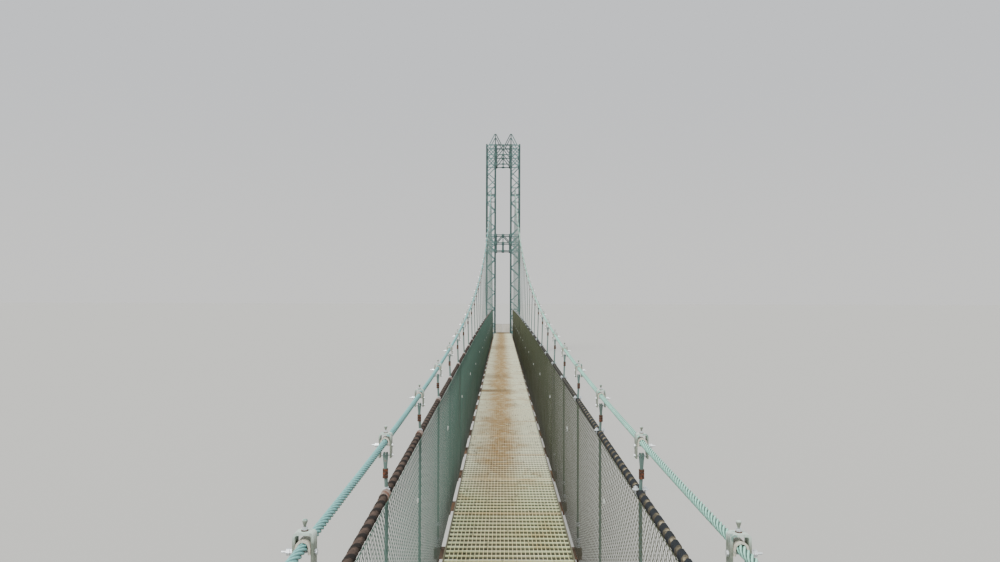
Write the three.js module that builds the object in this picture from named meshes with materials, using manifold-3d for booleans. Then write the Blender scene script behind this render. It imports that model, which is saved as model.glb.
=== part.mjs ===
// A wire-rope suspension footbridge between two lattice steel towers, as a model at 1:10.
// Sizes are millimetres of the model, and the full-size bridge is ten times as large.
// X runs across the bridge, Y along it and +Z up. The origin lies on the floor under mid-span.
import * as THREE from "three";
import { mergeVertices } from "three/addons/utils/BufferGeometryUtils.js";
import Module from "manifold-3d";

const wasm = await Module();
wasm.setup();

// Gap between pieces that touch
const FIT = 0.3;

// Layout along the bridge: hangers stand half a bay either side of mid-span, and then every bay
const BAY = 140;
const HANGERS_PER_HALF = 29;
const TOWER_Y = (HANGERS_PER_HALF + 0.5) * BAY;
const ANCHOR_RUN = 1150;

// Deck
const DECK_TOP = 110;
const DECK_WIDTH = 92;
const DECK_THICK = 3;
const DECK_END = 4070;
const DECK_JOINTS = [-17.5 * BAY, -5.5 * BAY, 5.5 * BAY, 17.5 * BAY];
const STRINGER_X = 33;
const STRINGER_WIDE = 6;
const STRINGER_DEEP = 14;
const FRAME_WIDTH = 117;
const BEAM_WIDE = 6;
const BEAM_DEEP = 8;
const BEAM_NOTCH = 0.3;

// Main cables: height above the deck at mid-span and at the saddles, distance from the centre line
const CABLE_RADIUS = 1.35;
const CABLE_LOW = 116;
const SADDLE_HIGH = 785;
const CABLE_X_MID = 56;
const CABLE_X_TOWER = 66;
const SADDLE_RADIUS = 45;
const ANCHOR_POINT_Z = 95;
const ARC_STEPS = 5;

// Saddles
const SEAT_HALF_LONG = 22;
const SEAT_WIDE = 7;
const SADDLE_BEAM_HALF = 8;
const SADDLE_BEAM_DEEP = 6;
const SEAT_STEP = 1;

// Handrails and hangers
const RAIL_RADIUS = 1.9;
const RAIL_X = 55.5;
const RAIL_LOW = 92;
const RAIL_RISE = 40;
const RAIL_REACH = 1680;
const RAIL_POWER = 1.2;
const HANGER_WIDE = 1.8;

// Sides of the plain bars that stand in for ropes and rods
const CABLE_SIDES = 6;
const RAIL_SIDES = 4;
const HANGER_SIDES = 3;

// Fence panels
const FENCE_INNER_X = 52.6;
const FENCE_THICK = 0.8;
const FENCE_BAR = 1.6;

// Towers: heights are above the deck, across and along are post centre to post centre
const LEG_X = 66;
const LEG_ACROSS = 46;
const LEG_ALONG = 101;
const POST_WIDE = 9;
const PLATE_THICK = 1.4;
const SIDE_SET_IN = 0.25;
const LACING_WIDE = 4.6;
const CHORD_WIDE = 5;
const TIE_WIDE = 4;
const LOWER_PORTAL = [447, 490, 533];
const UPPER_PORTAL = [918, 969.5, 1021];
const PEAK_RISE = 59;
const PEAK_HALF_BASE = 35;
const PEAK_HALF_TOP = 5;
const PEAK_BAR = 4.4;
const LACING_PITCH = 43;
const SADDLE_BEAM = 747;

// Lacing panels in the lengths of a leg that aren't divided by the lacing pitch
const FOOT_PANELS = 3;
const SIDE_LOW_PANELS = 4;
const SIDE_HIGH_PANELS = 2;
const SIDE_PORTAL_PANELS = 1;

// Concrete
const ABUTMENT_HALF_WIDTH = 106;
const ABUTMENT_FRONT = -70;
const ABUTMENT_BACK = 95;
const ANCHOR_WIDE = 130;
const ANCHOR_HIGH = 120;
const ANCHOR_BACK = 150;
const ANCHOR_NOSE = -45;
const LANDING_CLEAR = 2;
const LANDING_BACK = 85;

// Heights that follow from the ones above
const SEAT_TOP = DECK_TOP - DECK_THICK - FIT;
const TOWER_FOOT = SEAT_TOP + FIT;
const BEAM_TOP = SEAT_TOP - STRINGER_DEEP + BEAM_NOTCH;
const FRAME_END = TOWER_Y + ABUTMENT_FRONT - FIT;
const LEG_WIDE = LEG_ACROSS + POST_WIDE;
const LEG_DEEP = LEG_ALONG + POST_WIDE;
const TOWER_FACE = TOWER_Y - LEG_DEEP / 2;
const PORTAL_HALF = LEG_X - LEG_WIDE / 2 - FIT;
const CABLE_SAG = (SADDLE_HIGH - CABLE_LOW) / TOWER_Y ** 2;
const SIDES = { left: -1, right: 1 };
const ENDS = { near: -1, far: 1 };

const cableHeight = (y) => DECK_TOP + CABLE_LOW + CABLE_SAG * y * y;
const cableX = (y) => CABLE_X_MID + (CABLE_X_TOWER - CABLE_X_MID) * (y / TOWER_Y) ** 2;

// The handrail is slack and low at mid-span, and levels out towards the towers
function railHeight(y) {
  const risen = 1 - Math.exp(-((Math.abs(y) / RAIL_REACH) ** RAIL_POWER));
  return DECK_TOP + RAIL_LOW + RAIL_RISE * risen;
}

function hangerPlaces() {
  const places = [];
  for (let k = -HANGERS_PER_HALF; k < HANGERS_PER_HALF; k += 1) {
    places.push((k + 0.5) * BAY);
  }
  return places;
}

// Materials
function finish(color, roughness, metalness) {
  return () => new THREE.MeshStandardMaterial({ color, roughness, metalness });
}
const ropeSteel = finish(0x96beb9, 0.5, 0.4);
const hangerSteel = finish(0x5c827c, 0.55, 0.4);
const towerPaint = finish(0x4f7d76, 0.6, 0.2);
const gratingSteel = finish(0xcdc3aa, 0.6, 0.5);
const frameSteel = finish(0x6e3723, 0.85, 0.2);
const leftMesh = finish(0x51736b, 0.6, 0.4);
const rightMesh = finish(0x4a4744, 0.7, 0.3);
const saddleSteel = finish(0x8d9a98, 0.5, 0.6);
const concrete = finish(0x9c998f, 0.9, 0);

const bridge = new THREE.Group();

function addPiece(parent, name, geometry, material) {
  const piece = new THREE.Mesh(geometry, material());
  piece.name = name;
  parent.add(piece);
  return piece;
}

// Closed mesh to solid and back
function solidOf(geometry) {
  const bare = geometry.index ? geometry.toNonIndexed() : geometry.clone();
  bare.deleteAttribute("normal");
  bare.deleteAttribute("uv");
  const merged = mergeVertices(bare, 1e-4);
  return new wasm.Manifold(
    new wasm.Mesh({
      numProp: 3,
      vertProperties: new Float32Array(merged.attributes.position.array),
      triVerts: new Uint32Array(merged.index.array),
    }),
  );
}

function geometryOf(solid) {
  const mesh = solid.getMesh();
  const geometry = new THREE.BufferGeometry();
  geometry.setAttribute("position", new THREE.BufferAttribute(mesh.vertProperties, 3));
  geometry.setIndex(new THREE.BufferAttribute(mesh.triVerts, 1));
  geometry.computeVertexNormals();
  return geometry;
}

// One body from several overlapping closed shapes
function fused(geometries) {
  const [first, ...rest] = geometries.map(solidOf);
  return geometryOf(rest.reduce((whole, next) => whole.add(next), first));
}

// A box given by its lowest and highest corner
function block(low, high) {
  const size = high.map((value, axis) => value - low[axis]);
  const centre = high.map((value, axis) => (value + low[axis]) / 2);
  return new THREE.BoxGeometry(...size).translate(...centre);
}

// A flat plate in the XY plane: its outline given a thickness, with its openings cut through
function plate(corners, thickness, openings = []) {
  const raised = (points, depth) => {
    const shape = new THREE.Shape(points.map(([x, y]) => new THREE.Vector2(x, y)));
    const geometry = new THREE.ExtrudeGeometry(shape, { depth, bevelEnabled: false });
    return geometry.translate(0, 0, -depth / 2);
  };
  if (openings.length === 0) return raised(corners, thickness);
  const cut = (whole, points) => whole.subtract(solidOf(raised(points, 2 * thickness)));
  return geometryOf(openings.reduce(cut, solidOf(raised(corners, thickness))));
}

// A plate stood up in the YZ plane, at a distance along X
function acrossBridge(geometry, centreX) {
  return geometry.rotateY(Math.PI / 2).rotateX(Math.PI / 2).translate(centreX, 0, 0);
}

// A plate stood up in the XZ plane, at a distance along Y
function alongBridge(geometry, centreY) {
  return geometry.rotateX(Math.PI / 2).translate(0, centreY, 0);
}

// A straight-sided path whose points are used as they stand
class Route extends THREE.Curve {
  constructor(points) {
    super();
    this.points = points;
  }

  getUtoTmapping(u) {
    return u;
  }

  getPoint(t, target = new THREE.Vector3()) {
    const place = Math.min(Math.max(t, 0), 1) * (this.points.length - 1);
    const index = Math.min(Math.floor(place), this.points.length - 2);
    return target.lerpVectors(this.points[index], this.points[index + 1], place - index);
  }
}

function rodAlong(points, radius, sides) {
  const section = new THREE.Shape();
  for (let k = 0; k < sides; k += 1) {
    const angle = ((k + 0.5) * 2 * Math.PI) / sides;
    const point = [radius * Math.cos(angle), radius * Math.sin(angle)];
    if (k === 0) section.moveTo(...point);
    else section.lineTo(...point);
  }
  section.closePath();
  return new THREE.ExtrudeGeometry(section, {
    steps: points.length - 1,
    bevelEnabled: false,
    extrudePath: new Route(points),
  });
}

// Lattice faces: each opening is a polygon between member centre lines, drawn in by half of
// the width of the member on each of its edges. Corners run counter-clockwise.
function drawnIn(corners, halves) {
  const count = corners.length;
  const lines = corners.map(([x, z], k) => {
    const [nextX, nextZ] = corners[(k + 1) % count];
    const length = Math.hypot(nextX - x, nextZ - z);
    const normal = [-(nextZ - z) / length, (nextX - x) / length];
    return { normal, offset: normal[0] * x + normal[1] * z + halves[k] };
  });
  return lines.map((line, k) => {
    const before = lines[(k + count - 1) % count];
    const turn = before.normal[0] * line.normal[1] - before.normal[1] * line.normal[0];
    return [
      (before.offset * line.normal[1] - line.offset * before.normal[1]) / turn,
      (before.normal[0] * line.offset - line.normal[0] * before.offset) / turn,
    ];
  });
}

function lattice(corners, thickness, openings) {
  const holes = openings.map((opening) => drawnIn(opening.corners, opening.halves));
  return plate(corners, thickness, holes);
}

// A zigzag of lacing bars between two posts, from one chord up to the next
function zigzag(halfWidth, low, high, panels, firstSide) {
  const half = { post: POST_WIDE / 2, bar: LACING_WIDE / 2, chord: CHORD_WIDE / 2 };
  const pitch = (high - low) / panels;
  const openings = [];
  for (let k = 0; k <= panels; k += 1) {
    const side = k % 2 === 0 ? firstSide : -firstSide;
    const apex = [side * halfWidth, low + k * pitch];
    const from = [-side * halfWidth, Math.max(low, low + (k - 1) * pitch)];
    const to = [-side * halfWidth, Math.min(high, low + (k + 1) * pitch)];
    const widths = [k === 0 ? half.chord : half.bar, half.post, k === panels ? half.chord : half.bar];
    if (side < 0) {
      openings.push({ corners: [apex, from, to], halves: widths });
    } else {
      openings.push({ corners: [apex, to, from], halves: widths.reverse() });
    }
  }
  return openings;
}

// Two crossing bars in a panel
function crossed(halfWidth, low, high) {
  const bar = LACING_WIDE / 2;
  const chord = CHORD_WIDE / 2;
  const post = POST_WIDE / 2;
  const centre = [0, (low + high) / 2];
  const corners = [
    [-halfWidth, low],
    [halfWidth, low],
    [halfWidth, high],
    [-halfWidth, high],
  ];
  const edges = [chord, post, chord, post];
  return corners.map((corner, k) => ({
    corners: [corner, corners[(k + 1) % 4], centre],
    halves: [edges[k], bar, bar],
  }));
}

function window(halfWidth, low, high) {
  const chord = CHORD_WIDE / 2;
  const post = POST_WIDE / 2;
  return [
    {
      corners: [
        [-halfWidth, low],
        [halfWidth, low],
        [halfWidth, high],
        [-halfWidth, high],
      ],
      halves: [chord, post, chord, post],
    },
  ];
}

// Tower legs: four lattice faces of angle-iron posts and lacing, fused at the corners
const LEG_LOW = TOWER_FOOT - DECK_TOP;
const LEG_HIGH = UPPER_PORTAL[2] + CHORD_WIDE / 2;
const RAIL_TIE = railHeight(TOWER_FACE) - DECK_TOP;

// A face across the bridge, with one open panel that the main cable passes through
function crossFace(cableLevel) {
  const half = LEG_ACROSS / 2;
  const [lowA, lowB, lowC] = LOWER_PORTAL;
  const [highA, highB, highC] = UPPER_PORTAL;
  const windowLow = cableLevel - LACING_PITCH / 2;
  const windowHigh = cableLevel + LACING_PITCH / 2;
  const panels = (low, high) => Math.round((high - low) / LACING_PITCH);
  return [
    ...zigzag(half, LEG_LOW + CHORD_WIDE / 2, RAIL_TIE, FOOT_PANELS, -1),
    ...zigzag(half, RAIL_TIE, lowA, panels(RAIL_TIE, lowA), 1),
    ...crossed(half, lowA, lowB),
    ...crossed(half, lowB, lowC),
    ...zigzag(half, lowC, windowLow, panels(lowC, windowLow), -1),
    ...window(half, windowLow, windowHigh),
    ...zigzag(half, windowHigh, highA, panels(windowHigh, highA), -1),
    ...crossed(half, highA, highB),
    ...crossed(half, highB, highC),
  ];
}

function sideFace() {
  const half = LEG_ALONG / 2;
  return [
    ...zigzag(half, LEG_LOW + CHORD_WIDE / 2, LOWER_PORTAL[0], SIDE_LOW_PANELS, 1),
    ...zigzag(half, LOWER_PORTAL[0], LOWER_PORTAL[2], SIDE_PORTAL_PANELS, 1),
    ...zigzag(half, LOWER_PORTAL[2], SADDLE_BEAM, SIDE_HIGH_PANELS, 1),
    ...zigzag(half, SADDLE_BEAM, UPPER_PORTAL[0], SIDE_HIGH_PANELS, 1),
    ...zigzag(half, UPPER_PORTAL[0], UPPER_PORTAL[2], SIDE_PORTAL_PANELS, 1),
  ];
}

function legFace(width, setIn, openings) {
  const corners = [
    [-width / 2, LEG_LOW + setIn],
    [width / 2, LEG_LOW + setIn],
    [width / 2, LEG_HIGH - setIn],
    [-width / 2, LEG_HIGH - setIn],
  ];
  return lattice(corners, PLATE_THICK, openings);
}

function legGeometry() {
  const inset = PLATE_THICK / 2;
  const frontLevel = cableHeight(TOWER_FACE) - DECK_TOP;
  const rearLevel = SADDLE_HIGH - (LEG_DEEP / 2) * Math.tan(saddleArc().staySlope);
  const sideX = LEG_WIDE / 2 - inset - SIDE_SET_IN;
  const sideWide = LEG_DEEP - PLATE_THICK;
  return fused([
    alongBridge(legFace(LEG_WIDE, 0, crossFace(frontLevel)), inset - LEG_DEEP / 2),
    alongBridge(legFace(LEG_WIDE, 0, crossFace(rearLevel)), LEG_DEEP / 2 - inset),
    acrossBridge(legFace(sideWide, SIDE_SET_IN, sideFace()), -sideX),
    acrossBridge(legFace(sideWide, SIDE_SET_IN, sideFace()), sideX),
  ]);
}

// Portals: the braced bay between the two legs, at the front and the rear, tied at its corners
function braceFace(levels, lowPanelBraced) {
  const [low, middle, high] = levels;
  const edge = PORTAL_HALF;
  const half = { end: CHORD_WIDE, chord: CHORD_WIDE / 2, bar: LACING_WIDE / 2 };
  const openings = [];
  for (const [bottom, top, braced] of [
    [low, middle, lowPanelBraced],
    [middle, high, true],
  ]) {
    const post = braced ? half.chord : 2 * half.chord;
    if (braced) {
      openings.push(
        { corners: [[-edge, bottom], [0, bottom], [0, top]], halves: [half.chord, post, half.bar] },
        { corners: [[-edge, bottom], [0, top], [-edge, top]], halves: [half.bar, half.chord, half.end] },
        { corners: [[0, bottom], [edge, bottom], [0, top]], halves: [half.chord, half.bar, post] },
        { corners: [[edge, bottom], [edge, top], [0, top]], halves: [half.end, half.chord, half.bar] },
      );
    } else {
      openings.push(
        {
          corners: [[-edge, bottom], [0, bottom], [0, top], [-edge, top]],
          halves: [half.chord, post, half.chord, half.end],
        },
        {
          corners: [[0, bottom], [edge, bottom], [edge, top], [0, top]],
          halves: [half.chord, half.end, half.chord, post],
        },
      );
    }
  }
  const corners = [
    [-edge, low - half.chord],
    [edge, low - half.chord],
    [edge, high + half.chord],
    [-edge, high + half.chord],
  ];
  return lattice(corners, PLATE_THICK, openings);
}

function portalGeometry(levels, lowPanelBraced) {
  const faceY = LEG_DEEP / 2 - PLATE_THICK / 2;
  const parts = [-faceY, faceY].map((y) => alongBridge(braceFace(levels, lowPanelBraced), y));
  for (const side of [-1, 1]) {
    for (const level of [levels[0], levels[2]]) {
      const x = side * (PORTAL_HALF - CHORD_WIDE / 2);
      const half = TIE_WIDE / 2;
      parts.push(block([x - half, -faceY, level - half], [x + half, faceY, level + half]));
    }
  }
  return fused(parts);
}

// Peaks: an A-frame with a king post over each inner post, front and rear, joined by a ridge
function peakGeometry() {
  const bar = PEAK_BAR / 2;
  const base = PEAK_HALF_BASE;
  const top = PEAK_HALF_TOP;
  const corners = [[-base, 0], [base, 0], [top, PEAK_RISE], [-top, PEAK_RISE]];
  // The outer edges of the raking bars, run on until they meet over the king post
  const tip = [0, (PEAK_RISE * base) / (base - top)];
  const openings = [
    { corners: [[-base, 0], [0, 0], tip], halves: [bar, bar, 2 * bar] },
    { corners: [[0, 0], [base, 0], tip], halves: [bar, 2 * bar, bar] },
  ];
  const faceY = LEG_DEEP / 2 - PLATE_THICK / 2;
  const frames = [-faceY, faceY].map((y) => alongBridge(lattice(corners, PLATE_THICK, openings), y));
  const ridgeTop = PEAK_RISE - PLATE_THICK / 2;
  const ridge = block([-TIE_WIDE / 2, -faceY, ridgeTop - TIE_WIDE], [TIE_WIDE / 2, faceY, ridgeTop]);
  return fused([...frames, ridge]);
}

// The main cable's line: backstays, an arc over each saddle, and the hanging curve between
const ANCHOR_Y = TOWER_Y + ANCHOR_RUN;

function saddleArc() {
  const spanSlope = Math.atan(2 * CABLE_SAG * TOWER_Y);
  const staySlope = Math.atan((DECK_TOP + SADDLE_HIGH - ANCHOR_POINT_Z) / ANCHOR_RUN);
  const reach = SADDLE_RADIUS * Math.tan((spanSlope + staySlope) / 2);
  const peakZ = DECK_TOP + SADDLE_HIGH;
  const startY = TOWER_Y - reach * Math.cos(spanSlope);
  const startZ = peakZ - reach * Math.sin(spanSlope);
  const centreY = startY + SADDLE_RADIUS * Math.sin(spanSlope);
  const centreZ = startZ - SADDLE_RADIUS * Math.cos(spanSlope);
  return { spanSlope, staySlope, centreY, centreZ };
}

function cablePoints(side) {
  const arc = saddleArc();
  const half = [];
  for (let k = 0; k < HANGERS_PER_HALF; k += 1) {
    const y = (k + 0.5) * BAY;
    half.push([cableX(y), y, cableHeight(y)]);
  }
  for (let k = 0; k <= ARC_STEPS; k += 1) {
    const angle = arc.spanSlope - ((arc.spanSlope + arc.staySlope) * k) / ARC_STEPS;
    const y = arc.centreY - SADDLE_RADIUS * Math.sin(angle);
    half.push([CABLE_X_TOWER, y, arc.centreZ + SADDLE_RADIUS * Math.cos(angle)]);
  }
  const stay = { y: Math.cos(arc.staySlope), z: Math.sin(arc.staySlope) };
  half.push([CABLE_X_TOWER, ANCHOR_Y - FIT * stay.y, ANCHOR_POINT_Z + FIT * stay.z]);
  const farHalf = half.map(([x, y, z]) => new THREE.Vector3(side * x, y, z));
  const nearHalf = half.map(([x, y, z]) => new THREE.Vector3(side * x, -y, z)).reverse();
  return [...nearHalf, ...farHalf];
}

for (const [sideName, side] of Object.entries(SIDES)) {
  const rope = rodAlong(cablePoints(side), CABLE_RADIUS, CABLE_SIDES);
  addPiece(bridge, `${sideName}_main_cable`, rope, ropeSteel);
}

// Hangers, joined along each side by the handrail that they hold
function hangerGeometry(side, y) {
  const top = cableHeight(y) - CABLE_RADIUS - FIT;
  const rail = railHeight(y);
  const points = [
    new THREE.Vector3(side * cableX(y), y, top),
    new THREE.Vector3(side * RAIL_X, y, rail),
    new THREE.Vector3(side * RAIL_X, y, BEAM_TOP + FIT),
  ];
  return rodAlong(points, HANGER_WIDE / 2, HANGER_SIDES);
}

function railGeometry(side) {
  const endY = TOWER_FACE - FIT;
  const places = [-endY, ...hangerPlaces().map((y) => y - BAY / 2).slice(1), endY];
  const points = places.map((y) => new THREE.Vector3(side * RAIL_X, y, railHeight(y)));
  return rodAlong(points, RAIL_RADIUS, RAIL_SIDES);
}

for (const [sideName, side] of Object.entries(SIDES)) {
  const hangers = hangerPlaces().map((y) => hangerGeometry(side, y));
  const geometry = fused([railGeometry(side), ...hangers]);
  addPiece(bridge, `${sideName}_handrail_and_hangers`, geometry, hangerSteel);
}

// Deck frame: a cross-beam under every pair of hangers, joined by two stringers under the grating
function deckFrameGeometry() {
  const halfBeam = BEAM_WIDE / 2;
  const halfStringer = STRINGER_WIDE / 2;
  const beam = (y) =>
    block(
      [-FRAME_WIDTH / 2, y - halfBeam, BEAM_TOP - BEAM_DEEP],
      [FRAME_WIDTH / 2, y + halfBeam, BEAM_TOP],
    );
  const stringer = (x) =>
    block(
      [x - halfStringer, -FRAME_END, SEAT_TOP - STRINGER_DEEP],
      [x + halfStringer, FRAME_END, SEAT_TOP],
    );
  return fused([stringer(-STRINGER_X), stringer(STRINGER_X), ...hangerPlaces().map(beam)]);
}

addPiece(bridge, "deck_frame", deckFrameGeometry(), frameSteel);

// Deck sections and the fence panels that stand beside them
function sections() {
  const cuts = [-DECK_END, ...DECK_JOINTS, DECK_END];
  return cuts.slice(1).map((high, k) => {
    const from = k === 0 ? cuts[k] : cuts[k] + FIT / 2;
    const to = k === cuts.length - 2 ? high : high - FIT / 2;
    return { number: k + 1, from, to };
  });
}

function fencePanel(from, to) {
  const panels = Math.round((to - from) / BAY);
  const pitch = (to - from) / panels;
  const low = BEAM_TOP + FIT;
  const bar = FENCE_BAR / 2;
  const bottom = [];
  const top = [];
  for (let k = 0; k <= panels; k += 1) {
    const y = from + k * pitch;
    bottom.push([y, low]);
    top.push([y, railHeight(y)]);
  }
  // Bars rise and fall in turn from bay to bay, between a bottom wire and a top wire
  const openings = [];
  for (let k = 0; k <= panels; k += 1) {
    const before = Math.max(k - 1, 0);
    const after = Math.min(k + 1, panels);
    const first = k === 0 ? 2 * bar : bar;
    const last = k === panels ? 2 * bar : bar;
    if (k % 2 === 0) {
      openings.push({ corners: [bottom[k], top[after], top[before]], halves: [last, 2 * bar, first] });
    } else {
      openings.push({ corners: [top[k], bottom[before], bottom[after]], halves: [first, 2 * bar, last] });
    }
  }
  return lattice([...bottom, ...top.reverse()], FENCE_THICK, openings);
}

for (const { number, from, to } of sections()) {
  const half = DECK_WIDTH / 2;
  const slab = block([-half, from, DECK_TOP - DECK_THICK], [half, to, DECK_TOP]);
  addPiece(bridge, `deck_grating_${number}`, slab, gratingSteel);
  for (const [sideName, side] of Object.entries(SIDES)) {
    const centreX = side * (FENCE_INNER_X + FENCE_THICK / 2);
    const panel = fencePanel(Math.max(from, -FRAME_END), Math.min(to, FRAME_END));
    const geometry = acrossBridge(panel, centreX);
    const material = side < 0 ? leftMesh : rightMesh;
    addPiece(bridge, `${sideName}_fence_${number}`, geometry, material);
  }
}

// Saddles: a beam across the leg with a curved seat that the cable bends over
function saddleGeometry() {
  const arc = saddleArc();
  const seatRadius = SADDLE_RADIUS - CABLE_RADIUS - FIT;
  const centreY = arc.centreY - TOWER_Y;
  const beamLow = DECK_TOP + SADDLE_BEAM + CHORD_WIDE / 2 + FIT;
  const seatLow = beamLow + SEAT_STEP;
  const corners = [
    [centreY - SEAT_HALF_LONG, seatLow],
    [centreY + SEAT_HALF_LONG, seatLow],
  ];
  for (let k = ARC_STEPS; k >= 0; k -= 1) {
    const angle = arc.spanSlope - ((arc.spanSlope + arc.staySlope) * k) / ARC_STEPS;
    const y = centreY - seatRadius * Math.sin(angle);
    corners.push([y, arc.centreZ + seatRadius * Math.cos(angle)]);
  }
  const inner = LEG_WIDE / 2 - PLATE_THICK - FIT;
  const seat = acrossBridge(plate(corners, SEAT_WIDE), 0);
  const beam = block(
    [-inner, centreY - SADDLE_BEAM_HALF, beamLow],
    [inner, centreY + SADDLE_BEAM_HALF, beamLow + SADDLE_BEAM_DEEP],
  );
  return fused([seat, beam]);
}

// Abutments: a concrete block under each tower that also carries the end of the deck
function abutmentGeometry() {
  const half = ABUTMENT_HALF_WIDTH;
  return block([-half, ABUTMENT_FRONT, 0], [half, ABUTMENT_BACK, SEAT_TOP]);
}

function landingGeometry() {
  const half = PORTAL_HALF - LANDING_CLEAR;
  const front = DECK_END - TOWER_Y + FIT;
  return block([-half, front, TOWER_FOOT], [half, LANDING_BACK, DECK_TOP]);
}

// Anchor blocks: concrete, with a raked face square to the backstay
function anchorGeometry() {
  const slope = saddleArc().staySlope;
  const run = Math.tan(slope);
  const noseZ = ANCHOR_POINT_Z + ANCHOR_NOSE / run;
  const crestY = (ANCHOR_HIGH - ANCHOR_POINT_Z) * run;
  const corners = [
    [ANCHOR_NOSE, 0],
    [ANCHOR_BACK, 0],
    [ANCHOR_BACK, ANCHOR_HIGH],
    [crestY, ANCHOR_HIGH],
    [ANCHOR_NOSE, noseZ],
  ];
  return acrossBridge(plate(corners, ANCHOR_WIDE), 0);
}

// Each end of the bridge is built facing mid-span, and the near one is turned about +Z
for (const [endName, end] of Object.entries(ENDS)) {
  const tower = new THREE.Group();
  tower.position.set(0, end * TOWER_Y, 0);
  tower.rotation.z = end < 0 ? Math.PI : 0;
  bridge.add(tower);

  addPiece(tower, `${endName}_abutment`, abutmentGeometry(), concrete);
  addPiece(tower, `${endName}_landing`, landingGeometry(), gratingSteel);

  const steel = new THREE.Group();
  steel.position.z = DECK_TOP;
  tower.add(steel);
  addPiece(steel, `${endName}_lower_portal`, portalGeometry(LOWER_PORTAL, false), towerPaint);
  addPiece(steel, `${endName}_upper_portal`, portalGeometry(UPPER_PORTAL, true), towerPaint);

  for (const [sideName, side] of Object.entries(SIDES)) {
    const localSide = side * end;
    const leg = addPiece(steel, `${endName}_${sideName}_leg`, legGeometry(), towerPaint);
    leg.position.x = localSide * LEG_X;
    const peak = addPiece(steel, `${endName}_${sideName}_peak`, peakGeometry(), towerPaint);
    peak.position.set(localSide * (PORTAL_HALF + POST_WIDE / 2), 0, LEG_HIGH + FIT);
    const saddle = addPiece(tower, `${endName}_${sideName}_saddle`, saddleGeometry(), saddleSteel);
    saddle.position.x = localSide * CABLE_X_TOWER;
    const anchor = addPiece(tower, `${endName}_${sideName}_anchor`, anchorGeometry(), concrete);
    anchor.position.set(localSide * CABLE_X_TOWER, ANCHOR_RUN, 0);
  }
}

export default bridge;
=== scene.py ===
"""Dresses a suspension footbridge: ropes, hangers, fences, grating, fittings and finishes.

Sizes are metres of the model, which is a tenth of the full-size bridge. X runs across the bridge,
Y along it and +Z up. The origin lies on the floor under mid-span.
"""

import bisect
import math
from itertools import product

import bmesh
import bpy
from bpy.props import FloatProperty, FloatVectorProperty, IntProperty, PointerProperty
from bpy.types import Operator, Panel, PropertyGroup
from mathutils import Matrix, Vector


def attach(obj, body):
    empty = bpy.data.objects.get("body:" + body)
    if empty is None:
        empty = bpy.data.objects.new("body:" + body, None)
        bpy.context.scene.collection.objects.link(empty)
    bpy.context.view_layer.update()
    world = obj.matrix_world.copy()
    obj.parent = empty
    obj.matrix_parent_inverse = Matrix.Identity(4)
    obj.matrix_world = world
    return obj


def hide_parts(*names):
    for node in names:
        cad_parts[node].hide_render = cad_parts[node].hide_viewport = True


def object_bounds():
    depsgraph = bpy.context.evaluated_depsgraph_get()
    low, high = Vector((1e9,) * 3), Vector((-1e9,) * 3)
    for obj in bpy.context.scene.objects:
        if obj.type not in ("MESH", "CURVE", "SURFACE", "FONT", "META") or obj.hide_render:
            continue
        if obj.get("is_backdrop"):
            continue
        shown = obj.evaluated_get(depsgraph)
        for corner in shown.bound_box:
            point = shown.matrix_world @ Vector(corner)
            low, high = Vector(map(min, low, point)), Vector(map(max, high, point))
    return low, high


bl_info = {
    "name": "Suspension Footbridge Dressing",
    "version": (1, 0, 0),
    "blender": (4, 5, 0),
    "location": "3D View > Sidebar > Footbridge",
    "description": "Ropes, hangers, fences, grating, fittings and finishes of a suspension footbridge",
    "category": "Object",
}

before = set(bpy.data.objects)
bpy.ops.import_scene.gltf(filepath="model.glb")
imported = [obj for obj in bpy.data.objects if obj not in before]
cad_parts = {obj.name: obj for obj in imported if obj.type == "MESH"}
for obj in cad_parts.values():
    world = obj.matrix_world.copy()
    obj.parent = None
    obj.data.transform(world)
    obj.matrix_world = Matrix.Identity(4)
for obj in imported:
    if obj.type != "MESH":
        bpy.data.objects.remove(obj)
CAD_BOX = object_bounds()

MM = 0.001
SIDES = {"left": -1, "right": 1}
ENDS = {"near": -1, "far": 1}

# Layout, as the frame has it
FIT = 0.3 * MM
BAY = 140 * MM
HANGERS_PER_HALF = 29
TOWER_Y = (HANGERS_PER_HALF + 0.5) * BAY
ANCHOR_Y = TOWER_Y + 1150 * MM
DECK_TOP = 110 * MM
DECK_HALF = 46 * MM
DECK_UNDER = 107 * MM
DECK_END = 4070 * MM
DECK_JOINTS = [k * BAY for k in (-17.5, -5.5, 5.5, 17.5)]
SEAT_TOP = 106.7 * MM
STRINGER_X = 33 * MM
STRINGER_HALF = 3 * MM
STRINGER_LOW = 92.7 * MM
BEAM_TOP = 93 * MM
BEAM_LOW = 85 * MM
BEAM_HALF_WIDE = 3 * MM
BEAM_HALF_LONG = 58.5 * MM
FRAME_END = 4059.7 * MM
LANDING_HALF = 36.2 * MM
LANDING_BACK = 85 * MM
PANEL_START = 30 * MM
PANEL_LONG = 125 * MM

# Main cables
CABLE_RADIUS = 1.35 * MM
CABLE_LOW = 116 * MM
SADDLE_HIGH = 785 * MM
CABLE_SAG = (SADDLE_HIGH - CABLE_LOW) / TOWER_Y**2
CABLE_X_MID = 56 * MM
CABLE_X_TOWER = 66 * MM
SADDLE_RADIUS = 45 * MM
ANCHOR_POINT_Z = 95 * MM

# Handrails
RAIL_X = 55.5 * MM
RAIL_LOW = 92 * MM
RAIL_RISE = 40 * MM
RAIL_REACH = 1680 * MM
RAIL_POWER = 1.2
FENCE_X = 53 * MM
FENCE_LOW = 93.3 * MM

# Towers: heights are above the deck, across and along are from the leg's own centre
LEG_X = 66 * MM
POST_X = 23 * MM
POST_Y = 50.5 * MM
POST_INNER = 18.5 * MM
LEG_HALF_DEEP = 55 * MM
TOWER_FACE = TOWER_Y - LEG_HALF_DEEP
LACING_PITCH = 43 * MM
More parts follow.
